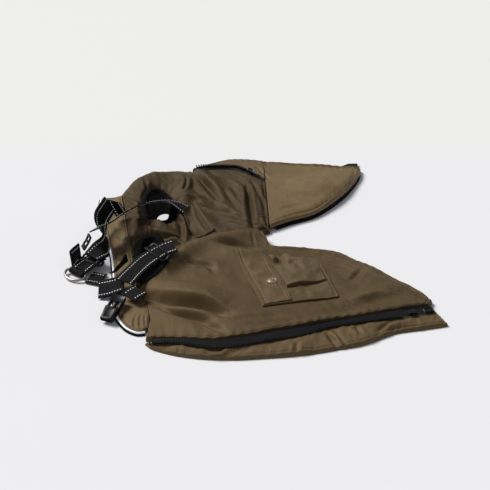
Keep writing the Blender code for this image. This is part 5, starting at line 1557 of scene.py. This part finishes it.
flap_tree = surface_of([chest_panel, leash])
strap_flap, strap_flap_top, strap_flap_away = patch("strap_flap_sewn", STRAP_FLAP, (60, 110), flap_tree, THIN_WALL,
                                                    strap_flap_form, nylon_chest_painted_shade, 26, 1.3)
enlist(strap_flap, ["strap_flap"])

# %% [markdown]
# ## Zips
# Both zips are moulded-tooth zips, and each half that shows has one row of teeth along the edge of its tape. A
# tooth is modelled once: a block with a waist, so that its head locks behind the next one. The copies follow the
# line of the teeth at their real spacing.

# %% Hard pieces, made by hand at the origin in millimetres
def begin():
    if bpy.context.object and bpy.context.object.mode != "OBJECT":
        bpy.ops.object.mode_set(mode="OBJECT")
    bpy.ops.object.select_all(action="DESELECT")


def block(size, place=(0, 0, 0)):
    """A block to shape further, as the active object."""
    begin()
    bpy.ops.mesh.primitive_cube_add(size=1, location=(0, 0, 0))
    piece = bpy.context.object
    for vertex in piece.data.vertices:
        vertex.co = Vector((vertex.co.x * size[0] + place[0], vertex.co.y * size[1] + place[1],
                            vertex.co.z * size[2] + place[2]))
    return piece


def edit_faces(test):
    """Edit mode with only the faces selected whose middle and normal pass the test."""
    piece = bpy.context.object
    bpy.ops.object.mode_set(mode="OBJECT")
    for item in (*piece.data.vertices, *piece.data.edges, *piece.data.polygons):
        item.select = False
    chosen = 0
    for face in piece.data.polygons:
        face.select = bool(test(face.center, face.normal))
        chosen += face.select
    bpy.ops.object.mode_set(mode="EDIT")
    bpy.ops.mesh.select_mode(type="FACE")
    return chosen


def object_mode():
    bpy.ops.object.mode_set(mode="OBJECT")


def apply_modifier(piece, kind, **settings):
    begin()
    piece.select_set(True)
    bpy.context.view_layer.objects.active = piece
    made = piece.modifiers.new(kind.lower(), kind)
    for key, value in settings.items():
        setattr(made, key, value)
    bpy.ops.object.modifier_apply(modifier=made.name)


def round_edges(piece, width, segments=2):
    apply_modifier(piece, "BEVEL", width=width, segments=segments, limit_method="ANGLE",
                   angle_limit=math.radians(35))


def fuse(piece, others):
    """Joins overlapping closed shapes into one body."""
    for other in others:
        apply_modifier(piece, "BOOLEAN", operation="UNION", solver="EXACT", object=other)
        bpy.data.objects.remove(other, do_unlink=True)
    return piece


def punched_plate(x_lines, y_lines, holes, thick, lift=None):
    """A plate between grid lines, with the cells in holes punched out, lifted where lift says."""
    begin()
    bpy.ops.mesh.primitive_grid_add(x_subdivisions=len(x_lines) - 1, y_subdivisions=len(y_lines) - 1, size=2)
    piece = bpy.context.object
    xs = sorted({round(vertex.co.x, 4) for vertex in piece.data.vertices})
    ys = sorted({round(vertex.co.y, 4) for vertex in piece.data.vertices})
    cells = {}
    for vertex in piece.data.vertices:
        i, j = xs.index(round(vertex.co.x, 4)), ys.index(round(vertex.co.y, 4))
        cells[vertex.index] = (i, j)
        vertex.co = Vector((x_lines[i], y_lines[j], lift(i, j) if lift else 0))
    holes = set(holes)
    edit_faces(lambda centre, normal: any(
        x_lines[i] < centre.x < x_lines[i + 1] and y_lines[j] < centre.y < y_lines[j + 1] for i, j in holes))
    bpy.ops.mesh.delete(type="FACE")
    object_mode()
    apply_modifier(piece, "SOLIDIFY", thickness=thick, offset=0)
    return piece


def settle(piece, name, place, directions, finish, nodes=(), body="garment", smooth_deg=40):
    """Puts a piece made at the origin into its place in the jacket, and gives it its finish and body."""
    begin()
    piece.select_set(True)
    bpy.context.view_layer.objects.active = piece
    bpy.ops.object.shade_smooth_by_angle(angle=math.radians(smooth_deg))
    piece.name = name
    piece.data.name = name
    turn = np.eye(4)
    turn[:3, :3] = np.stack(directions, axis=1) * MM
    turn[:3, 3] = (np.asarray(place) - ORIGIN) * MM
    piece.data.transform(Matrix(turn.tolist()))
    piece.data.materials.clear()
    piece.data.materials.append(finish)
    check_outward(piece)
    return enlist(piece, nodes, body)


def middle_of(node):
    """The middle of a solid's box, in the pattern's millimetres."""
    low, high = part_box(node)
    return np.array((Vector(low) + Vector(high)) / 2) / MM + ORIGIN


def direction(start, end):
    """Lengthwise, crosswise and upward directions of a line between two points."""
    along = unit(np.array(tuple(end), float) - np.array(tuple(start), float))
    across = unit(np.cross(UP, along))
    return along, across, np.cross(along, across)


# %% One tooth, and rows of them
def one_tooth(long, wide, high):
    """A tooth whose head, at +Y, is wider than its waist."""
    tooth = block((long, wide, high))
    edit_faces(lambda centre, normal: normal.y > 0.9)
    bpy.ops.mesh.extrude_region_move(TRANSFORM_OT_translate={"value": (0, 0.35 * wide, 0)})
    bpy.ops.transform.resize(value=(0.72, 1, 0.8))
    object_mode()
    edit_faces(lambda centre, normal: abs(normal.x) > 0.9 and centre.y < 0)
    bpy.ops.mesh.inset(thickness=0.18, depth=-0.16)
    object_mode()
    round_edges(tooth, 0.16, 1)
    points = np.array([vertex.co for vertex in tooth.data.vertices])
    faces = [list(face.vertices) for face in tooth.data.polygons]
    bpy.data.objects.remove(tooth, do_unlink=True)
    return points, faces


def tooth_row(name, line, pitch, tooth, side, finish, node):
    """Copies of the tooth along the line, heads towards one side."""
    shape, sides = tooth
    along, run = unit(np.gradient(line, axis=0)), lengths(line)
    points, faces = [], []
    for n, at in enumerate(np.arange(0.6 * pitch, run[-1] - 0.4 * pitch, pitch)):
        pick = lambda values: np.array([np.interp(at, run, values[:, k]) for k in range(3)])
        a = unit(pick(along))
        c = side * unit(np.cross(a, UP))
        up = unit(np.cross(a, c)) * (1 if np.cross(a, c)[2] > 0 else -1)
        base = pick(line)
        first = len(points)
        points += list(base + shape[:, :1] * a + shape[:, 1:2] * c + shape[:, 2:] * up)
        turned = np.dot(np.cross(a, c), up) < 0
        faces += [[first + k for k in (ring[::-1] if turned else ring)] for ring in sides]
    made = new_object(name, points, faces, finish, None, False)
    begin()
    made.select_set(True)
    bpy.context.view_layer.objects.active = made
    bpy.ops.object.shade_smooth_by_angle(angle=math.radians(38))
    check_outward(made)
    return enlist(made, [node])


def on_folds(rows):
    return [Edge(row.x, row.y, row.z + float(fold_height(row.x, row.y))) for row in rows]


# %% Near zip
NEAR_PITCH, TAPE_DROP, TAPE_THICK = 3.17, 1.5, 1.3
near_zip = on_folds(ZIP_NEAR_TEETH)
teeth_line = along_rows(near_zip, 480)
half = ZIP_WIDTH / 2


def wavy(line, amount, pitch, layer):
    moved = line.copy()
    moved[:, 2] += amount * smooth_noise(lengths(line) / pitch, layer + 0.37, layer)
    return moved


seam = beside(along_rows(on_folds(NEAR_PANEL_NEAR), 480), 0.2)
low_edge, beside_teeth = beside(teeth_line, half - 0.5), beside(teeth_line, -half - 0.3)
low_edge[:, 2] -= TAPE_DROP
beside_teeth[:, 2] -= TAPE_DROP
seam[:, 2] -= 1.6
shares = np.linspace(0, 1, 12)[None, :, None]
tape = beside_teeth[:, None] * (1 - shares) + seam[:, None] * shares
tape[:, :, 2] += 0.5 * np.sin(np.pi * shares[:, :, 0]) + 0.35 * smooth_noise(tape[:, :, 0] / 17, tape[:, :, 1] / 5, 2)
tape = np.concatenate([low_edge[:, None], tape], axis=1)[14:]
tape_low = tape.copy()
tape_low[:, :, 2] = np.maximum(0.4, tape[:, :, 2] - TAPE_THICK)
near_tape = enlist(closed_sheet("zip_tape_near_woven", tape, tape_low, tape_cloth), ["zip_tape_near"])
ZIP_NEAR_SHARE = 0.885
tooth = one_tooth(2.0, 3.2, ZIP_HEIGHT)
last = int(ZIP_NEAR_SHARE * 480)
near_raised = beside(teeth_line, 2.2) + 1.3 * UP
near_teeth = tooth_row("zip_teeth_near_moulded", near_raised[:last], NEAR_PITCH, tooth, 1, teeth_plastic,
                       "zip_teeth_near")
print("near teeth", round(lengths(teeth_line[:last])[-1] / NEAR_PITCH))

# %% Far zip
FAR_PITCH = 3.17
far_line = along_rows(on_folds(ZIP_FAR_LINE), 360)
far_top_line = beside(far_line, 0.1) + 0.4 * UP
chest_edge = along_rows(CHEST_FAR, 400)[240:]
chest_edge[:, 2] += fold_height(chest_edge[:, 0], chest_edge[:, 1])
chest_edge = np.stack([np.interp(np.linspace(0, 1, 361), np.linspace(0, 1, len(chest_edge)), chest_edge[:, k])
                       for k in range(3)], axis=1)
shares = np.linspace(0, 1, 10)[None, :, None]
far_tape = chest_edge[:, None] * (1 - shares) + far_top_line[:, None] * shares
far_tape[:, :, 2] -= 0.9 * (1 - shares[:, :, 0]) + 0.5
far_tape_low = far_tape.copy()
far_tape_low[:, :, 2] = np.maximum(0.4, far_tape[:, :, 2] - TAPE_THICK)
far_tape_piece = enlist(closed_sheet("zip_tape_far_woven", far_tape[18:], far_tape_low[18:], tape_cloth),
                        ["zip_tape_far"])
small_tooth = one_tooth(2.0, 3.6, ZIP_HEIGHT)
raised = beside(far_line, -0.4) + 1.2 * UP
far_teeth = tooth_row("zip_teeth_far_moulded", raised[22:int(0.74 * 360)], FAR_PITCH, small_tooth, -1,
                      teeth_plastic, "zip_teeth_far")


# %% [markdown]
# ### Sliders, retaining box and pull tab
# A slider is two plates joined by a wedge, open at its sides for the teeth, with a bridge on top for the pull.
# Both start as a block. Its nose is narrowed, its sides are pushed in for the channel, and its edges rounded.

# %% Zip hardware
def zip_slider(size, bridge):
    """A slider body with a channel in each side, and its bridge."""
    long, wide, high = size
    body = block(size)
    edit_faces(lambda centre, normal: normal.x < -0.9)
    bpy.ops.transform.resize(value=(1, 0.62, 1))
    object_mode()
    edit_faces(lambda centre, normal: abs(normal.y) > 0.7)
    bpy.ops.mesh.inset(thickness=0.24 * high, depth=-0.16 * wide)
    object_mode()
    round_edges(body, 0.45, 2)
    if bridge:
        parts = [block((1.2, 1.8, bridge + 1.2), (side * 2.3, 0, high / 2 + bridge / 2 + 0.2)) for side in (-1, 1)]
        parts.append(block((5.8, 1.8, 1.0), (0, 0, high / 2 + bridge + 0.5)))
        for part in parts:
            round_edges(part, 0.3, 2)
        body = fuse(body, parts)
    return body


line97 = along_rows(near_zip, 96)
near_directions = direction(line97[86], line97[90])
settle(zip_slider((8.5, 8.0, 4.2), 0), "zip_slider_near_moulded", middle_of("zip_slider_near"), near_directions,
       gloss_plastic, ["zip_slider_near"])
retainer = block((9.0, 9.5, 3.0))
edit_faces(lambda centre, normal: normal.z > 0.9)
bpy.ops.mesh.inset(thickness=1.5, depth=0)
bpy.ops.mesh.extrude_region_move(TRANSFORM_OT_translate={"value": (0, 0, -0.9)})
object_mode()
edit_faces(lambda centre, normal: normal.x < -0.9)
bpy.ops.mesh.inset(thickness=0.9, depth=-1.6)
object_mode()
round_edges(retainer, 0.4, 2)
settle(retainer, "zip_box_near_moulded", middle_of("zip_box_near"), near_directions, gloss_plastic,
       ["zip_box_near"])

line61 = along_rows(on_folds(ZIP_FAR_LINE), 60)
far_directions = direction(line61[46], line61[51])
joints = {joint["name"]: joint for joint in frame["record"]["behaviour"]["joints"]}
pull_hinge = np.array(joints["zip_pull_hinge"]["pos_m"]) / MM + ORIGIN
BRIDGE_GAP = 2.4
slider_place = pull_hinge - (1.8 + BRIDGE_GAP / 2) * far_directions[2]
settle(zip_slider((8.0, 6.5, 3.6), BRIDGE_GAP), "zip_slider_far_moulded", slider_place, far_directions,
       gloss_plastic, ["zip_slider_far"])

tilt = unit(far_directions[0] - 0.08 * far_directions[2])
tab_directions = (tilt, far_directions[1], np.cross(tilt, far_directions[1]))
tab = punched_plate([-0.5, 0.5, 5.8, 8.2, 10.2, 12.4, 14.2], [-2.7, -1.45, 1.45, 2.7], [(1, 1), (4, 1)], 0.9)
for vertex in tab.data.vertices:
    narrow = 0.82 if vertex.co.x < 4 else (0.8 if vertex.co.x > 13.5 else 1.0)
    vertex.co.y *= narrow
round_edges(tab, 0.28, 2)
settle(tab, "zip_pull_far_cast", pull_hinge, tab_directions, nickel, ["zip_pull_far"], "zip_pull")

# %% [markdown]
# ## Snap, slides, adjuster and buckle
# The snap is a shallow cap on a rolled rim. The slides are plates with two slots: the strap goes under both
# end bars and over the middle one. The side-release buckle is a socket with windows in its sides and a plug
# whose prongs sit in them.

# %% Snap button
begin()
bpy.ops.mesh.primitive_cylinder_add(vertices=40, radius=6.0, depth=1.0, location=(0, 0, 0))
snap = bpy.context.object
edit_faces(lambda centre, normal: normal.z > 0.9)
bpy.ops.mesh.inset(thickness=0.9, depth=0.15)
bpy.ops.mesh.inset(thickness=0.35, depth=-0.35)
bpy.ops.mesh.inset(thickness=1.1, depth=0.75)
bpy.ops.mesh.inset(thickness=1.6, depth=0.35)
bpy.ops.mesh.inset(thickness=1.3, depth=0.08)
object_mode()
round_edges(snap, 0.22, 2)
band_tree = surface_of([band, bag])
snap_x, snap_y = np.array([SNAP_PLACE[0]]), np.array([SNAP_PLACE[1]])
ring = np.array([[SNAP_PLACE[0] + 5 * math.cos(a), SNAP_PLACE[1] + 5 * math.sin(a)] for a in np.arange(0, 6.3, 0.5)])
snap_rest = float(np.mean(height_on(band_tree, ring[:, 0], ring[:, 1])))
settle(snap, "snap_button_pressed", (*SNAP_PLACE, snap_rest + 0.5), np.eye(3).tolist(), snap_paint,
       ["snap_button"])


# %% Strap slides
def frame_at(rows, share):
    steps = 60
    line, along, across, normal = (part[int(round(share * steps))] for part in web_frames(rows, steps))
    return line, (along, across, normal) if normal[2] > 0 else (along, -across, -normal)


def tri_glide(long):
    reach = WEB_WIDTH / 2 + 1.4
    x_lines = [-long / 2, -long / 2 + 2.6, -1.4, 1.4, long / 2 - 2.6, long / 2]
    y_lines = [-reach - 3.0, -reach, -reach + 2.2, reach - 2.2, reach, reach + 3.0]

    def lift(i, j):
        over = 2.05 if i in (0, 1, 4, 5) else -2.05
        return over * (1.0 if j in (2, 3) else 0.62 if j in (1, 4) else 0.35)

    plate = punched_plate(x_lines, y_lines, [(1, 1), (1, 2), (1, 3), (3, 1), (3, 2), (3, 3)], 1.9, lift)
    round_edges(plate, 0.55, 3)
    return plate


place, directions = frame_at(GIRTH_STRAP, 0.62)
girth_slide = settle(tri_glide(15.0), "girth_slide_moulded", place, directions, gloss_plastic,
                     ["girth_slide"])
place, directions = frame_at(RING_STRAP_TOP, 0.58)
neck_slide = settle(tri_glide(12.0), "neck_slide_moulded", place, directions, gloss_plastic,
                    ["neck_slide"])

# %% Adjuster
top, low = np.array(ADJUSTER_TOP), np.array(ADJUSTER_LOW)
adjuster_long = float(np.linalg.norm(low - top)) - 0.35
x_lines = [-adjuster_long / 2 + adjuster_long * share for share in (0, 0.14, 0.36, 0.50, 0.72, 0.84, 1)]
adjuster = punched_plate(x_lines, [-5.5, -3.4, 3.4, 5.5], [(1, 1), (3, 1)], 2.6,
                         lambda i, j: 0.6 if i in (0, 6) else -0.4 if i in (2, 3) else 0)
round_edges(adjuster, 0.8, 3)
settle(adjuster, "strap_adjuster_moulded", (top + low) / 2, direction(top, low), gloss_plastic,
       ["strap_adjuster"])

# %% Side-release buckle
head, tip = np.array(BUCKLE_HEAD), np.array(BUCKLE_TIP)
buckle_middle = (head + tip) / 2
half_long = float(np.linalg.norm(buckle_middle - head)) - 0.35
buckle_directions = direction(head, tip)
width, height = BUCKLE_SIZE

socket = block((half_long, width, height))
edit_faces(lambda centre, normal: normal.x > 0.9)
bpy.ops.transform.resize(value=(1, 0.86, 0.66))
object_mode()
edit_faces(lambda centre, normal: abs(normal.y) > 0.8)
bpy.ops.mesh.inset(thickness=2.0, depth=-1.4)
object_mode()
edit_faces(lambda centre, normal: normal.z > 0.8)
bpy.ops.mesh.inset(thickness=2.2, depth=0.45)
bpy.ops.mesh.inset(thickness=1.6, depth=-0.5)
object_mode()
edit_faces(lambda centre, normal: normal.x > 0.8 and abs(normal.z) < 0.5)
bpy.ops.mesh.inset(thickness=1.3, depth=-3.0)
object_mode()
round_edges(socket, 0.7, 3)
settle(socket, "buckle_socket_moulded", (buckle_middle + tip) / 2, buckle_directions, gloss_plastic,
       ["buckle_socket"])

plug = block((0.5 * half_long, width, 0.8 * height), (-0.22 * half_long, 0, 0))
edit_faces(lambda centre, normal: normal.x < -0.9)
bpy.ops.transform.resize(value=(1, 0.9, 0.8))
bpy.ops.mesh.inset(thickness=1.4, depth=-2.6)
object_mode()
edit_faces(lambda centre, normal: normal.z > 0.8)
bpy.ops.mesh.inset(thickness=1.5, depth=-0.7)
object_mode()
round_edges(plug, 0.6, 3)
prongs = []
for side in (-1, 1):
    prong = block((0.62 * half_long, 3.4, 0.62 * height), (0.18 * half_long, side * (width / 2 - 1.7), 0))
    edit_faces(lambda centre, normal: normal.x > 0.9)
    bpy.ops.transform.resize(value=(1, 0.7, 0.8))
    object_mode()
    round_edges(prong, 0.6, 2)
    prongs.append(prong)
tongue = block((0.6 * half_long, 3.6, 0.4 * height), (0.18 * half_long, 0, 0))
round_edges(tongue, 0.5, 2)
plug = fuse(plug, [*prongs, tongue])
settle(plug, "buckle_plug_moulded", (head + buckle_middle) / 2, buckle_directions, gloss_plastic,
       ["buckle_plug"])

# %% [markdown]
# ## D-ring and its keeper
# A ring of round nickel-plated wire with one straight side, held in a folded loop of webbing. The wire follows a
# line; the keeper is webbing wrapped round the straight side.

# %% Ring and keeper
D_WIRE, D_INNER, KEEPER_WIDTH = 3.2, 27.0, 22.0
bar_start, bar_end = (np.array(tuple(point), float) for point in D_BAR)
bar_along = unit(bar_end - bar_start)
out = unit(np.array([bar_along[1], -bar_along[0], 0.0]) * D_REACH - UP * D_DROP)
bar_middle, ring_half = (bar_start + bar_end) / 2, D_INNER / 2 + D_WIRE / 2
ring_line = [bar_middle + s * ring_half * bar_along for s in np.linspace(-0.9, 0.9, 24)]
ring_line += [bar_middle + ring_half * math.cos(turn) * bar_along
              + (1.8 + (D_REACH - 1.8) * math.sin(turn)) * out for turn in np.linspace(0, math.pi, 64)]
ring_line = np.array(ring_line)
for _ in range(6):
    ring_line = (np.roll(ring_line, 1, 0) + 2 * ring_line + np.roll(ring_line, -1, 0)) / 4
d_ring = tube("d_ring_wire", ring_line, D_WIRE / 2, 16, nickel, closed=True)
enlist(d_ring, ["d_ring"], "d_ring")

turns = np.radians(np.linspace(32, 328, 48))
inner = D_WIRE / 2 + 0.5
outer = inner + WEB_THICK
strap_side = -unit(np.array([bar_along[1], -bar_along[0], 0.0]))
profile = [(outer, turn) for turn in turns] + [(inner, turn) for turn in turns[::-1]]
sections = []
for share in np.linspace(-1, 1, 23):
    edge = 0.12 * abs(share) ** 10
    sections.append([bar_middle + share * KEEPER_WIDTH / 2 * bar_along
                     + (r - edge if r == outer else r + edge) * (math.cos(turn) * strap_side + math.sin(turn) * UP)
                     for r, turn in profile])
sections = np.array(sections)
run = np.concatenate([outer * turns, outer * turns[::-1]])
keeper_uv = np.stack([np.tile(run, 23), np.repeat(np.linspace(0, KEEPER_WIDTH, 23), 96)], axis=1) * MM
keeper = enlist(loft("ring_keeper_woven", sections, webbing, keeper_uv), ["ring_keeper"])

# %% [markdown]
# ## Stitches
# All reflective stitches of the harness are one piece, and so are the olive stitches along hems and pocket:
# short raised threads that follow the finished cloth.

# %% Reflective stitch lines and topstitching
dashes = new_object("harness_stitches", dash_points, dash_faces, thread_trim, None, False)
check_outward(dashes)
enlist(dashes)
STITCH_LONG, STITCH_PITCH, STITCH_WIDE = 2.3, 3.1, 0.55
thread_points, thread_faces = [], []
for line in stitch_lines:
    along = unit(np.gradient(line, axis=0))
    across = unit(np.cross(UP, along))
    lift = np.cross(along, across)
    add_dashes(line, along, across, lift, (0.0,), 0, STITCH_LONG, STITCH_PITCH, STITCH_WIDE,
               into=(thread_points, thread_faces))
topstitch = new_object("topstitching", thread_points, thread_faces, thread, None, False)
check_outward(topstitch)
enlist(topstitch)
print("stitches", len(dash_faces) // 6, len(thread_faces) // 6)

# %% [markdown]
# ## What each cloth piece was cut to
# The flat size of every cloth piece in metres, before it was laid down: width and length of the rectangle it was
# cut from, and the flat area of the cut where it isn't a rectangle. Sizes are those of the pattern's seam lines,
# measured along the cloth. A cuff's width is that of its folded band.

# %% Cuts
Cut = namedtuple("Cut", "piece width length area rests_on with_pieces")
CUTS = [
    Cut("chest_panel_sewn", 0.252, 0.255, 0.0380, ["studio_table"], ["topstitching"]),
    Cut("collar_sewn", 0.046, 0.335, 0.0105, ["studio_table"], ["collar_binding_folded", "collar_piping_cord"]),
    Cut("back_panel_near_sewn", 0.255, 0.470, 0.0520, ["studio_table"], []),
    Cut("placket_near_sewn", 0.046, 0.359, 0.0092, ["studio_table"],
        ["zip_tape_near_woven", "zip_teeth_near_moulded", "zip_slider_near_moulded", "zip_box_near_moulded"]),
    Cut("back_panel_far_sewn", 0.198, 0.218, 0.0180, ["studio_table"], []),
    Cut("placket_far_sewn", 0.078, 0.120, 0.0044, ["studio_table"],
        ["zip_tape_far_woven", "zip_teeth_far_moulded", "zip_slider_far_moulded"]),
    Cut("hem_lining_far_knit", 0.011, 0.199, 0.0014, ["studio_table"], []),
    Cut("zip_end_far_folded", 0.014, 0.026, 0.0003, ["studio_table"], []),
    Cut("leg_cuff_far_knit", 0.020, 0.213, None, ["studio_table"], []),
    Cut("leg_cuff_near_knit", 0.019, 0.186, None, ["studio_table"], []),
    Cut("pocket_bag_sewn", 0.104, 0.116, 0.0096, ["back_panel_near_sewn"], []),
    Cut("pocket_band_sewn", 0.039, 0.113, 0.0037, ["pocket_bag_sewn"], ["snap_button_pressed"]),
    Cut("pocket_flap_sewn", 0.066, 0.077, 0.0036, ["pocket_bag_sewn"], []),
    Cut("strap_flap_sewn", 0.041, 0.079, 0.0021, ["chest_panel_sewn"], []),
    Cut("strap_leash_woven", 0.025, 0.158, None, ["chest_panel_sewn"], ["harness_stitches"]),
    Cut("strap_neck_loop_woven", 0.025, 0.121, None, ["collar_sewn"], []),
    Cut("strap_neck_rise_woven", 0.016, 0.024, None, ["collar_sewn"], []),
    Cut("strap_ring_top_woven", 0.025, 0.036, None, ["strap_ring_far_woven"], []),
    Cut("strap_ring_far_woven", 0.025, 0.023, None, ["d_ring_wire"], []),
    Cut("strap_ring_near_woven", 0.025, 0.020, None, ["studio_table"], []),
    Cut("strap_shoulder_woven", 0.025, 0.034, None, ["studio_table"], []),
    Cut("strap_riser_woven", 0.014, 0.030, None, ["studio_table"], []),
    Cut("strap_girth_woven", 0.025, 0.088, None, ["back_panel_near_sewn"], ["girth_slide_moulded"]),
    Cut("strap_girth_under_woven", 0.025, 0.037, None, ["chest_panel_sewn"], []),
    Cut("strap_buckle_woven", 0.025, 0.020, None, ["collar_sewn"], []),
]
for cut in CUTS:
    extras = [bpy.data.objects[name] for name in cut.with_pieces]
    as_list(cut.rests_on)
print("cloth pieces", len(CUTS), "flat area", round(sum(cut.area or cut.width * cut.length for cut in CUTS), 4))

# %% Sizes
{"cad": [list(corner) for corner in cad_box], "visual": [list(corner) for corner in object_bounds()]}
